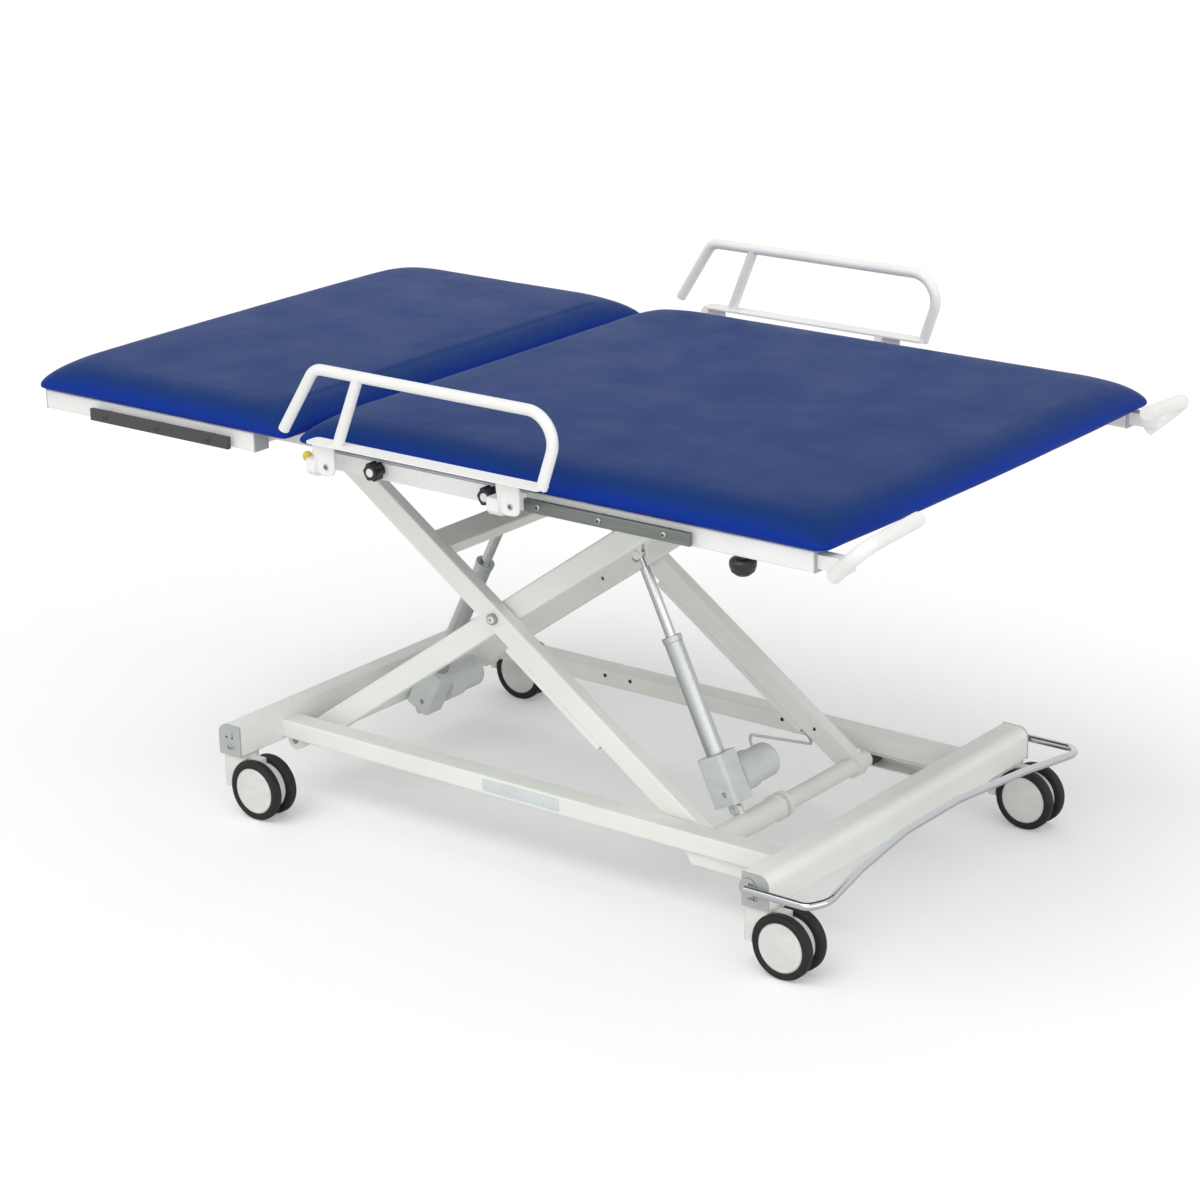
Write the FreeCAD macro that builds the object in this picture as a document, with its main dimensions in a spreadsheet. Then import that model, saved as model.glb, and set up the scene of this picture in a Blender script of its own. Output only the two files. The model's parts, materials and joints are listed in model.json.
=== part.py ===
import FreeCAD, Part
import math
import os
import re
import Sketcher

# Height-adjustable two-section therapy table on a scissor lift.
# Millimetres. +X to the foot end, -Y to the side rail that faces the viewer, +Z up.
# The origin is on the floor, midway between the four caster stems.

V = FreeCAD.Vector
doc = FreeCAD.newDocument("bobath_table")
sheet = doc.addObject("Spreadsheet::Sheet", "Sizes")

SIZES = {
    # scissor lift: two pairs of arms of equal length, crossed at their middles
    "arm_reach": 640, "lift_angle": 35, "head_pivot_x": -618.5, "pivot_low": 133,
    "arm_height": 50, "arm_width": 30, "drain_radius": 4, "arm_wall": 3, "inner_arm_y": 228, "arm_gap": 4,
    "far_inset": 42,
    "pin_radius": 6.5, "mid_pin_radius": 10, "running_gap": 0.05, "side_gap": 0.3,
    "cross_member_long": 50, "cross_member_high": 36, "inner_cross_reach": 327, "outer_cross_reach": 205,
    "cable_hole_radius": 8, "head_hole_reach": "=lower_tie_reach - 36",
    "spacer_radius": 12, "tube_end_long": 26, "duct_start": 60, "duct_wide": 26, "duct_deep": 13,
    "duct_wall": 1.5, "near_duct_reach": 341, "far_duct_reach": "=arm_reach - 133",
    "mid_head_radius": 12, "mid_head_deep": 7, "mid_washer_radius": 18,
    "torsion_radius": 19, "sleeve_radius": 25, "sleeve_end_y": 60, "ring_radius": 28, "ring_width": 12,
    "lower_tie_reach": "=arm_reach - 34",
    "lower_roller_radius": 11.6, "lower_roller_drop": 8.15, "upper_roller_radius": 17, "roller_width": 28,
    "stub_radius": 5, "roller_play": 0.3,
    # base frame
    "beam_inner_x": 644, "beam_width": 60, "beam_low": 132, "beam_height": 68, "beam_half_length": 471,
    "beam_wall": 3, "beam_round": 22, "beam_cap": 4,
    "base_rail_y": 296, "base_rail_width": 50, "base_rail_low": 140, "base_rail_height": 40,
    "base_rail_wall": 3, "tube_round": 4,
    "track_start": 406, "track_end": 634, "track_low": 110, "track_width": 36, "track_wall": 3,
    "track_slope": 19, "lug_width": 32, "lug_radius": 21,
    # casters
    "caster_x": 671, "caster_y": 443, "caster_trail": 60, "wheel_radius": 65, "wheel_width": 22,
    "wheel_offset": 23, "cap_radius": 50, "axle_radius": 5, "stem_radius": 14, "stem_height": 56,
    "socket_radius": 20, "housing_width": 56, "housing_length": 60, "wheel_play": 2, "caster_play": 0.5,
    # brake bar
    "brake_x": 660, "brake_z": 172, "brake_radius": 8, "brake_side_y": 488, "brake_reach": 800,
    "brake_corner_x": 826, "brake_corner_y": 456, "brake_bend_y": 302, "brake_bend_x": 795,
    "brake_mid_y": 100, "brake_mid_x": 765, "brake_hub_radius": 19,
    # lift actuators, with the places of their pins
    "foot_act_y": -164, "foot_act_x": 413.5, "foot_act_z": 164, "foot_eye_drop": 30,
    "foot_eye_reach": "=inner_cross_reach - 12", "head_act_y": 0, "head_act_reach": "=lower_tie_reach - 16",
    "head_act_drop": 53, "head_eye_reach": "=outer_cross_reach + 21", "head_eye_drop": 30,
    "act_tube_radius": 19, "act_tube_wall": 3, "foot_tube_end": 368, "head_tube_end": 422,
    "act_rod_radius": 11, "act_eye_radius": 9,
    "act_eye_width": 12, "act_pin_radius": 5, "gear_long": 104, "gear_wide": 62, "gear_deep": 60,
    "gear_start": 14, "motor_radius": 36, "motor_long": 120, "motor_up": 62, "clevis_wall": 6,
    "lead_radius": 3, "bolt_head": 4, "ear_root": 20, "ear_eye": 11, "ear_bolt_radius": 8,
    # main frame, carried by the arms
    "pivot_in_frame": 10.2, "frame_tube": 40, "frame_wall": 3, "frame_half_width": 576,
    "main_head_x": -300, "main_foot_x": 870, "cross_mid_x": 80, "cross_foot_x": 780,
    "channel_wall": 4, "channel_web_y": 294,
    "sub_low": 59, "sub_tube": 34, "sub_y": 304, "sub_width": 32, "sub_head_x": -665, "lug_plate": 8,
    "tie_x": -650, "tie_radius": 14,
    # head section
    "hinge_x": -420, "hinge_in_frame": 27, "hinge_ear_radius": 13, "hinge_pin_radius": 5,
    "head_foot_x": -460, "head_head_x": -1046, "head_cross_height": 30,
    "head_cross_foot_x": -500, "head_cross_head_x": -1030, "end_cap": 3,
    # gas spring under the head section
    "spring_x": 100, "spring_drop": 25, "lever_x": 32, "lever_drop": 68, "spring_radius": 11,
    "spring_rod_radius": 4, "spring_tube_long": 250,
    # cushions
    "cushion_top": 103, "cushion_gap": 0.3, "cushion_half_width": "=frame_half_width + 16", "cushion_edge": 25,
    "cushion_corner": 78, "main_cushion_head_x": -336, "main_cushion_foot_x": 898, "foot_bow": 16,
    "head_cushion_foot_x": -360, "head_cushion_head_x": -1066, "head_bow": 14,
    # side rails and their mounts
    "guard_y": "=frame_half_width + 72", "guard_radius": 11, "guard_hinge_y": "=frame_half_width + 46",
    "guard_hinge_up": 19, "guard_top": 222, "guard_shelf_up": 81, "guard_shelf_wide": 38,
    "guard_plate": 4, "guard_plate_wide": 42, "guard_plate_low": 12, "guard_plate_shift": 12, "guard_leaf": 17,
    "guard_pin_radius": 6,
    "guard_tube_head_x": -308, "guard_tube_head_up": 89, "guard_bend_head_x": -221, "guard_bend_foot_x": 376,
    "guard_tube_foot_x": 325, "guard_bend_head": 34, "guard_bend_foot": 56,
    "guard_leg_low_x": -170, "guard_leg_top_x": -110,
    "leaf_head_x": -238, "leaf_foot_x": 215, "shelf_foot_x": 332, "strip": 4, "foot_lug_x": 186,
    "mount_head_x": -262, "mount_foot_x": 236, "leaf_radius": 17, "guard_cap_radius": 10,
    "guard_cap_deep": 5,
    # knobs
    "star_head_x": -124, "star_foot_x": 158, "star_up": 23, "star_radius": 19, "star_deep": 24,
    "stud_radius": 5, "hand_knob_x": 708, "hand_knob_radius": 25, "hand_knob_high": 34, "hand_knob_inset": 17,
    "plunger_radius": 10, "plunger_x": -294, "plunger_y": "=frame_half_width + 24", "plunger_up": 26,
    "plunger_stem": 4, "plunger_in_lug": 12,
    # accessory rails
    "acc_height": 25, "acc_thick": 10, "acc_stand": 10, "acc_up": 19, "bush_radius": 9,
    "main_acc_x": 240, "main_acc_long": 377, "head_acc_x": -899, "head_acc_long": 386, "head_acc_up": 14,
    # push handles
    "plug": 26, "plug_inside": 180, "plug_foot_x": 936, "handle_radius": 14, "handle_foot_x": 904,
    "handle_apex_x": 980, "handle_apex_up": 67, "handle_apex_inset": 34, "handle_grip_up": 76,
    "handle_grip_y": "=frame_half_width - 163",
    # control box
    "box_long": 200, "box_wide": 120, "box_high": 50, "box_x": 0, "box_y": 60,
}

for row, alias in enumerate(SIZES, 1):
    sheet.set("A%d" % row, alias.replace("_", " "))
    sheet.setAlias("B%d" % row, alias)
for row, value in enumerate(SIZES.values(), 1):
    sheet.set("B%d" % row, str(value))
doc.recompute()


def size(alias):
    """A driving dimension, read from the sheet."""
    return float(sheet.get(alias))


def formula(text):
    """The same text with every alias pointing at its cell."""
    return re.sub(r"[a-z][a-z_]*", lambda m: "Sizes." + m.group() if m.group() in SIZES else m.group(), text)


def bind(thing, **sizes):
    for prop, text in sizes.items():
        thing.setExpression(prop, formula(text))


def place(thing, x="0", y="0", z="0"):
    for axis, text in zip("xyz", (x, y, z)):
        thing.setExpression("Placement.Base." + axis, formula(text))
    return thing


# heights and places that several sub-parts share
PIVOT_HIGH = "(pivot_low + 2 * arm_reach * sin(lift_angle))"
FOOT_PIVOT_X = "(head_pivot_x + 2 * arm_reach * cos(lift_angle))"
DECK = "(pivot_low + 2 * arm_reach * sin(lift_angle) - pivot_in_frame)"
DECK_TOP = "(pivot_low + 2 * arm_reach * sin(lift_angle) - pivot_in_frame + frame_tube)"
OUTER_ARM_Y = "(inner_arm_y + arm_width + arm_gap)"
INNER_ARM_OUT = "(inner_arm_y + arm_width)"

tilt = math.radians(size("lift_angle"))
reach = size("arm_reach")
along_inner = V(math.cos(tilt), 0, math.sin(tilt))
across_inner = V(-math.sin(tilt), 0, math.cos(tilt))
along_outer = V(-math.cos(tilt), 0, math.sin(tilt))
across_outer = V(math.sin(tilt), 0, math.cos(tilt))
middle = V(size("head_pivot_x"), 0, size("pivot_low")) + along_inner * reach
deck = size("pivot_low") + 2 * reach * math.sin(tilt) - size("pivot_in_frame")
outer_arm_y = size("inner_arm_y") + size("arm_width") + size("arm_gap")
frame_y = size("frame_half_width")


# sketches and the features made from them

PLANES = {"X": "YZ_Plane", "Y": "XZ_Plane", "Z": "XY_Plane"}


def new_body(name):
    return doc.addObject("PartDesign::Body", name)


def sketch(body, normal="Z", offset="0"):
    """Sketch on a plane of the body's own origin; on the Y planes the normal points to -Y."""
    plane = [part for part in body.Origin.OriginFeatures if part.Role == PLANES[normal]][0]
    outline = body.newObject("Sketcher::SketchObject", body.Name + "_sketch")
    outline.AttachmentSupport = [(plane, "")]
    outline.MapMode = "FlatFace"
    sign = "-1 * " if normal == "Y" else ""
    outline.setExpression("AttachmentOffset.Base.z", formula(sign + "(" + offset + ")"))
    return outline


def fix_point(outline, geometry, point, u, v, guess):
    for kind, text, start in (("DistanceX", u, guess.x), ("DistanceY", v, guess.y)):
        index = outline.addConstraint(Sketcher.Constraint(kind, geometry, point, start))
        outline.setExpression("Constraints[%d]" % index, formula(text))


def polygon(outline, corners):
    """Closed outline whose corners are pairs of formulas."""
    first = outline.GeometryCount
    count = len(corners)
    ring = [V(math.cos(2 * math.pi * i / count), math.sin(2 * math.pi * i / count), 0) for i in range(count)]
    for i in range(count):
        outline.addGeometry(Part.LineSegment(ring[i], ring[(i + 1) % count]), False)
    for i in range(count):
        outline.addConstraint(Sketcher.Constraint("Coincident", first + i, 2, first + (i + 1) % count, 1))
    for i, (u, v) in enumerate(corners):
        fix_point(outline, first + i, 1, u, v, ring[i])
    return outline


def rectangle(outline, u0, u1, v0, v1):
    return polygon(outline, [(u0, v0), (u1, v0), (u1, v1), (u0, v1)])


def circle(outline, u, v, radius):
    index = outline.addGeometry(Part.Circle(V(1, 1, 0), V(0, 0, 1), 1), False)
    fix_point(outline, index, 3, u, v, V(1, 1, 0))
    rule = outline.addConstraint(Sketcher.Constraint("Radius", index, 1))
    outline.setExpression("Constraints[%d]" % rule, formula(radius))
    return outline


def pad(body, outline, length):
    feature = body.newObject("PartDesign::Pad", body.Name + "_pad")
    feature.Profile = outline
    bind(feature, Length=length)
    return feature


def pocket(body, outline, length):
    """Cut along the sketch's own normal, into what was padded that way."""
    feature = body.newObject("PartDesign::Pocket", body.Name + "_pocket")
    feature.Profile = outline
    feature.Reversed = True
    bind(feature, Length=length)
    return feature


def revolve(body, outline, axis="V_Axis"):
    feature = body.newObject("PartDesign::Revolution", body.Name + "_turned")
    feature.Profile = outline
    feature.ReferenceAxis = (outline, [axis])
    feature.Angle = 360
    return feature


def round_edges(body, feature, radius, wanted):
    """Fillet the edges of a feature that the test function picks."""
    doc.recompute()
    names = ["Edge%d" % (i + 1) for i, edge in enumerate(feature.Shape.Edges) if wanted(edge)]
    fillet = body.newObject("PartDesign::Fillet", body.Name + "_round")
    fillet.Base = (feature, names)
    bind(fillet, Radius=radius)
    return fillet


def straight_along(direction):
    def test(edge):
        if not isinstance(edge.Curve, Part.Line):
            return False
        run = edge.Vertexes[1].Point - edge.Vertexes[0].Point
        return run.cross(direction).Length < 0.001 * run.Length
    return test


AXES = {"X": V(1, 0, 0), "Y": V(0, 1, 0), "Z": V(0, 0, 1)}


def box_tube(name, axis, u0, u1, v0, v1, start, length, wall, rounding="tube_round"):
    """Rectangular tube with rounded long edges; along Y it runs from start towards -Y."""
    body = new_body(name)
    block_pad = pad(body, rectangle(sketch(body, axis, start), u0, u1, v0, v1), length)
    round_edges(body, block_pad, rounding, straight_along(AXES[axis]))
    hollow = rectangle(sketch(body, axis, start), u0 + " + " + wall, u1 + " - " + wall,
                       v0 + " + " + wall, v1 + " - " + wall)
    pocket(body, hollow, length)
    return body


# Part primitives and what is made from them

def block(name, x, y, z, length, width, height):
    box = doc.addObject("Part::Box", name)
    bind(box, Length=length, Width=width, Height=height)
    return place(box, x, y, z)


TURNS = {"X": FreeCAD.Rotation(V(0, 1, 0), 90), "Y": FreeCAD.Rotation(V(1, 0, 0), -90), "Z": FreeCAD.Rotation()}


def rod(name, axis, radius, length, x, y, z):
    cylinder = doc.addObject("Part::Cylinder", name)
    cylinder.Placement = FreeCAD.Placement(V(), TURNS[axis])
    bind(cylinder, Radius=radius, Height=length)
    return place(cylinder, x, y, z)


def cut(name, base, tool):
    result = doc.addObject("Part::Cut", name)
    result.Base = base
    result.Tool = tool
    return result


def fuse(name, parts):
    result = doc.addObject("Part::MultiFuse", name)
    result.Shapes = parts
    return result


def mirror(source, normal=V(0, 1, 0)):
    copy = doc.addObject("Part::Mirroring", source.Name + "_mirrored")
    copy.Source = source
    copy.Normal = normal
    return copy


nodes = []


def node(label, parts):
    """A named sub-part of one or more separate solids."""
    group = doc.addObject("Part::Compound", label)
    group.Links = parts
    group.Label = label
    nodes.append(group)
    return group


def both_sides(label, parts):
    return node(label, parts + [mirror(part) for part in parts])


def shaped(label, shape, placement=None):
    """A sub-part whose shape no sketch or primitive gives; placed after its shape is set."""
    feature = doc.addObject("Part::Feature", label)
    feature.Shape = shape
    if placement:
        feature.Placement = placement
    return feature


def bent_tube(points, bends, radius):
    """Round bar along straight runs joined by tangent arcs, one bend radius for each corner."""
    edges = []
    last = points[0]
    for before, corner, after, bend in zip(points, points[1:], points[2:], bends):
        incoming = (corner - before).normalize()
        outgoing = (after - corner).normalize()
        half_turn = incoming.getAngle(outgoing) / 2
        set_back = bend * math.tan(half_turn)
        start = corner - incoming * set_back
        end = corner + outgoing * set_back
        inward = (outgoing - incoming).normalize()
        centre = corner + inward * (bend / math.cos(half_turn))
        edges.append(Part.LineSegment(last, start).toShape())
        edges.append(Part.Arc(start, centre - inward * bend, end).toShape())
        last = end
    edges.append(Part.LineSegment(last, points[-1]).toShape())
    path = Part.Wire(edges)
    heading = (points[1] - points[0]).normalize()
    profile = Part.Wire(Part.makeCircle(radius, points[0], heading))
    return path.makePipeShell([profile], True, False)


# base frame

def base_rail():
    return box_tube("base_rail", "X", "-(base_rail_y + base_rail_width)", "-base_rail_y",
                    "base_rail_low", "base_rail_low + base_rail_height",
                    "-beam_inner_x", "2 * beam_inner_x", "base_rail_wall")


def cross_beam(name, socket_name):
    """Foot-end beam: rounded outer top edge, hollow, with a hole for each caster stem."""
    body = new_body(name)
    outer_x = "(beam_inner_x + beam_width)"
    top = "(beam_low + beam_height)"
    solid = pad(body, rectangle(sketch(body, "Y", "beam_half_length"), "beam_inner_x", outer_x, "beam_low", top),
                "2 * beam_half_length")
    far_x = size("beam_inner_x") + size("beam_width")
    far_z = size("beam_low") + size("beam_height")

    def outer_top(edge):
        spot = edge.CenterOfMass
        return abs(spot.x - far_x) < 0.1 and abs(spot.z - far_z) < 0.1
    rounded = round_edges(body, solid, "beam_round", outer_top)

    def small_edges(edge):
        along = straight_along(AXES["Y"])
        on_round = edge.CenterOfMass.z > far_z - size("beam_round") - 0.1 and edge.CenterOfMass.x > (
            far_x - size("beam_round") - 0.1)
        return along(edge) and not on_round
    round_edges(body, rounded, "tube_round", small_edges)
    inner = sketch(body, "Y", "beam_half_length")
    slope = " - beam_round * 0.6"
    polygon(inner, [("beam_inner_x + beam_wall", "beam_low + beam_wall"),
                    (outer_x + " - beam_wall", "beam_low + beam_wall"),
                    (outer_x + " - beam_wall", top + slope + " - beam_wall"),
                    (outer_x + slope + " - beam_wall", top + " - beam_wall"),
                    ("beam_inner_x + beam_wall", top + " - beam_wall")])
    pocket(body, inner, "2 * beam_half_length")
    holes = sketch(body, "Z", "beam_low")
    for side in ("-", ""):
        circle(holes, "caster_x", side + "caster_y", "stem_radius + running_gap")
    pocket(body, holes, "beam_wall")
    sockets = []
    for side in ("-", ""):
        sleeve = rod(socket_name, "Z", "socket_radius", "beam_height - 2 * beam_wall",
                     "caster_x", side + "caster_y", "beam_low + beam_wall")
        bore = rod(socket_name + "_bore", "Z", "stem_radius + running_gap", "stem_height",
                   "caster_x", side + "caster_y", "beam_low + beam_wall")
        sockets.append(cut(socket_name + "_sleeve", sleeve, bore))
    return [body] + sockets


def end_cap(name):
    """Cap on a beam's end with a central hole and two moulded recesses."""
    body = new_body(name)
    outer_x = "(beam_inner_x + beam_width)"
    top = "(beam_low + beam_height)"
    plate = pad(body, rectangle(sketch(body, "Y", "-beam_half_length"), "beam_inner_x", outer_x, "beam_low", top),
                "beam_cap")
    far_x = size("beam_inner_x") + size("beam_width")
    far_z = size("beam_low") + size("beam_height")

    def outer_top(edge):
        spot = edge.CenterOfMass
        return abs(spot.x - far_x) < 0.1 and abs(spot.z - far_z) < 0.1
    round_edges(body, plate, "beam_round", outer_top)
    marks = sketch(body, "Y", "-(beam_half_length + beam_cap - 2)")
    for up in ("0.28", "0.72"):
        circle(marks, "caster_x - 8", "beam_low + beam_height * " + up, "5")
    pocket(body, marks, "beam_cap")
    return body


def track():
    """C-section under the foot end of a base rail, open to the arms, with a sloping start."""
    body = new_body("track")
    top = "base_rail_low"
    shape = polygon(sketch(body, "Y", "-base_rail_y"),
                    [("track_start", top), ("track_start + track_slope", "track_low"),
                     ("track_end", "track_low"), ("track_end", top)])
    pad(body, shape, "track_width + 2")
    inside = rectangle(sketch(body, "Y", "-base_rail_y"), "track_start - 10", "track_end + 10",
                       "track_low + track_wall", top + " - track_wall")
    pocket(body, inside, "track_width + 2 - track_wall")
    return body


def base_lug():
    """Rounded lug under a rail's head end that holds the fixed lower pin."""
    body = new_body("base_lug")
    start = "-(base_rail_y + 4)"
    pad(body, rectangle(sketch(body, "Y", start), "head_pivot_x - lug_radius", "head_pivot_x + lug_radius",
                        "pivot_low", "base_rail_low"), "lug_width")
    pad(body, circle(sketch(body, "Y", start), "head_pivot_x", "pivot_low", "lug_radius"), "lug_width")
    trim = rectangle(sketch(body, "Y", start), "head_pivot_x - 2 * lug_radius", "head_pivot_x + 2 * lug_radius",
                     "base_rail_low", "base_rail_low + 2 * lug_radius")
    pocket(body, trim, "lug_width")
    pocket(body, circle(sketch(body, "Y", start), "head_pivot_x", "pivot_low", "pin_radius"), "lug_width")
    return body


def stepped_pin(name, x, z, radius, inner_y, outer_y, inner_head, outer_head, head_radius, end_radius):
    """Pin across the near side with a flat head at each end."""
    shank = rod(name + "_shank", "Y", radius, "%s - %s" % (outer_y, inner_y), x, "-" + outer_y, z)
    inside = rod(name + "_clip", "Y", head_radius, inner_head, x, "-" + inner_y, z)
    outside = rod(name + "_head", "Y", end_radius, outer_head, x, "-(%s + %s)" % (outer_y, outer_head), z)
    return fuse(name, [shank, inside, outside])


both_sides("base_rails", [base_rail()])
foot_parts = cross_beam("foot_beam_tube", "foot_socket")
head_parts = [mirror(part, V(1, 0, 0)) for part in cross_beam("head_beam_tube", "head_socket")]
node("foot_beam", foot_parts)
node("head_beam", head_parts)
near_cap = end_cap("near_cap")
head_cap = mirror(near_cap, V(1, 0, 0))
node("beam_end_caps", [near_cap, mirror(near_cap), head_cap, mirror(head_cap)])
both_sides("rail_brackets", [track(), base_lug()])
base_pins = [stepped_pin("base_pin_" + side, "head_pivot_x", "pivot_low", "pin_radius", inner_y,
                         "(base_rail_y + 4 + lug_width)", "5", "3", "12", "pin_radius + 0.3")
             for side, inner_y in (("near", "(inner_arm_y - side_gap)"),
                                   ("far", "(inner_arm_y - far_inset - side_gap)"))]
base_spacer = rod("base_spacer", "Y", "spacer_radius", "far_inset + base_rail_y - inner_arm_y - arm_width - 4",
                  "head_pivot_x", "inner_arm_y + arm_width - far_inset + side_gap", "pivot_low")
node("base_pins", [base_pins[0], fuse("far_base_pin", [mirror(base_pins[1]), base_spacer])])


# brake bar round the foot beam

def brake_bar():
    z = size("brake_z")
    half = [V(size("brake_x"), -size("brake_side_y"), z), V(size("brake_reach"), -size("brake_side_y"), z),
            V(size("brake_corner_x"), -size("brake_corner_y"), z + 4),
            V(size("brake_bend_x"), -size("brake_bend_y"), z + 8),
            V(size("brake_mid_x"), -size("brake_mid_y"), z + 8)]
    points = half + [V(point.x, -point.y, point.z) for point in reversed(half)]
    return shaped("brake_tube", bent_tube(points, [22, 45, 60, 60, 60, 60, 45, 22], size("brake_radius")))


def brake_hub():
    """Round boss at the beam's end that the bar turns on."""
    return rod("brake_hub", "Y", "brake_hub_radius",
               "brake_side_y - brake_radius - beam_half_length - beam_cap - side_gap",
               "brake_x", "-(brake_side_y - brake_radius)", "brake_z")


near_hub = brake_hub()
node("brake_bar", [brake_bar(), near_hub, mirror(near_hub)])


# casters: a swivelling housing with a stem and two wheels on one axle

def caster_housing(name, x, y):
    """Moulded housing cut clear of the wheels, with the hood between them, stem and axle."""
    width = size("housing_width")
    length = size("housing_length")
    play = size("wheel_play")
    top = size("beam_low") - size("caster_play")
    radius = size("wheel_radius")
    trail = size("caster_trail")
    low = radius - 6
    housing = Part.makeBox(length, width, top - low, V(-length / 2, -width / 2, low))
    corners = [edge for edge in housing.Edges if straight_along(AXES["Z"])(edge)]
    housing = housing.makeFillet(length / 5, corners)
    clear = Part.makeCylinder(radius + play, 2 * width, V(trail, -width, radius), V(0, 1, 0))
    housing = housing.cut(clear)
    hood_half = size("wheel_offset") - size("wheel_width") / 2 - 1
    hood = Part.makeCylinder(size("cap_radius"), 2 * hood_half, V(trail, -hood_half, radius), V(0, 1, 0))
    web = Part.makeBox(trail, 2 * hood_half, top - radius, V(0, -hood_half, radius))
    web = web.cut(Part.makeBox(2 * trail, 4 * hood_half, 2 * trail, V(length / 2, -2 * hood_half, top - 4)))
    stem = Part.makeCylinder(size("stem_radius"), size("stem_height") - 4, V(0, 0, top - 1))
    axle_half = size("wheel_offset") + size("wheel_width") / 2 - 6
    axle = Part.makeCylinder(size("axle_radius"), 2 * axle_half, V(trail, -axle_half, radius), V(0, 1, 0))
    shape = housing.fuse([hood, web, stem, axle]).removeSplitter()
    return shaped(name, shape, FreeCAD.Placement(V(x, y, 0), FreeCAD.Rotation()))


def wheel_pair(label, outline, x, y):
    """Two turned rings or discs, one on each side of the housing."""
    near = new_body(label + "_near")
    shape = polygon(sketch(near, "Z"), outline)
    revolve(near, shape)
    far = mirror(near)
    pair = node(label, [near, far])
    pair.Placement = FreeCAD.Placement(V(x + size("caster_trail"), y, size("wheel_radius")), FreeCAD.Rotation())
    return pair


def disc_outline():
    """Half section of a domed wheel disc with a blind bore; the wheel's axle is the sketch's Y axis."""
    inner = "-(wheel_offset - wheel_width / 2)"
    outer = "-(wheel_offset + wheel_width / 2)"
    bore = "(axle_radius + running_gap)"
    bore_end = "-(wheel_offset + wheel_width / 2 - 5.5)"
    return [(bore, inner), ("cap_radius", inner), ("cap_radius", outer + " + 3"),
            ("cap_radius * 0.94", outer + " + 0.8"), ("cap_radius * 0.7", outer + " + 0.2"),
            ("0", outer), ("0", bore_end), (bore, bore_end)]


def tyre_outline():
    inner = "-(wheel_offset - wheel_width / 2)"
    outer = "-(wheel_offset + wheel_width / 2)"
    return [("cap_radius", inner), ("wheel_radius - 6", inner), ("wheel_radius - 2", inner + " - 2"),
            ("wheel_radius", inner + " - 6"), ("wheel_radius", outer + " + 6"),
            ("wheel_radius - 2", outer + " + 2"), ("wheel_radius - 6", outer), ("cap_radius + 2", outer),
            ("cap_radius", outer + " + 1.5")]


for end, x in (("head", -size("caster_x")), ("foot", size("caster_x"))):
    for side, y in (("near", -size("caster_y")), ("far", size("caster_y"))):
        place_name = side + "_" + end
        nodes.append(caster_housing("caster_housing_" + place_name, x, y))
        wheel_pair("wheel_discs_" + place_name, disc_outline(), x, y)
        wheel_pair("tyres_" + place_name, tyre_outline(), x, y)


# scissor arms

def arm(name, y_inner, lean, x, z, bore_mid):
    """Hollow arm with round ends, bored at both ends and in the middle; its own X runs along it."""
    body = new_body(name)
    start = "-" + y_inner
    half = "(arm_height / 2)"
    length = "(2 * arm_reach)"
    bar = pad(body, rectangle(sketch(body, "Y", start), "0", length, "-" + half, half), "arm_width")
    round_edges(body, bar, "tube_round", straight_along(AXES["X"]))
    for spot in ("0", length):
        pad(body, circle(sketch(body, "Y", start), spot, "0", half), "arm_width")
    inside = "-(%s + arm_wall)" % y_inner
    for near_end, far_end in (("arm_height", "arm_reach - arm_height"),
                              ("arm_reach + arm_height", "2 * arm_reach - arm_height")):
        cavity = rectangle(sketch(body, "Y", inside), near_end, far_end,
                           "-%s + arm_wall" % half, half + " - arm_wall")
        pocket(body, cavity, "arm_width - 2 * arm_wall")
        drain = circle(sketch(body, "Y", start), far_end + " - 60", "0", "drain_radius")
        pocket(body, drain, "2 * arm_wall")
    bores = sketch(body, "Y", start)
    for spot, radius in (("0", "pin_radius + running_gap"), ("arm_reach", bore_mid)):
        circle(bores, spot, "0", radius)
    pocket(body, bores, "arm_width")
    body.Placement = FreeCAD.Placement(V(), FreeCAD.Rotation(V(0, 1, 0), lean))
    bind(body, **{"Placement.Rotation.Angle": "-lift_angle" if lean < 0 else "lift_angle"})
    return place(body, x, "0", z)


def tapered_plate(name, wide_end, narrow_end, radius, start, thickness, bore):
    """Plate from a straight edge, given by two corners, to a round end bored on its centre."""
    body = new_body(name)
    eye_x, eye_z = narrow_end
    pad(body, polygon(sketch(body, "Y", start), [wide_end[0], wide_end[1],
                                                 (eye_x + " + " + radius, eye_z),
                                                 (eye_x + " - " + radius, eye_z)]), thickness)
    pad(body, circle(sketch(body, "Y", start), eye_x, eye_z, radius), thickness)
    pocket(body, circle(sketch(body, "Y", start), eye_x, eye_z, bore), thickness)
    return body


def turned_member(name, reach_text, sign, half_y):
    """Rectangular cross tube square to the arms that it joins."""
    half_long = "(cross_member_long / 2)"
    half_high = "(cross_member_high / 2)"
    body = box_tube(name, "Y", "-" + half_long, half_long, "-" + half_high, half_high,
                    half_y + " - far_inset", "2 * " + half_y + " - far_inset", "arm_wall")
    body.Placement = FreeCAD.Placement(V(), FreeCAD.Rotation(V(0, 1, 0), size("lift_angle") * sign))
    bind(body, **{"Placement.Rotation.Angle": "lift_angle" if sign > 0 else "-lift_angle"})
    height = "pivot_low + %s * sin(lift_angle)" if sign < 0 else PIVOT_HIGH + " - %s * sin(lift_angle)"
    return place(body, "head_pivot_x + %s * cos(lift_angle)" % reach_text, "0", height % reach_text)


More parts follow.
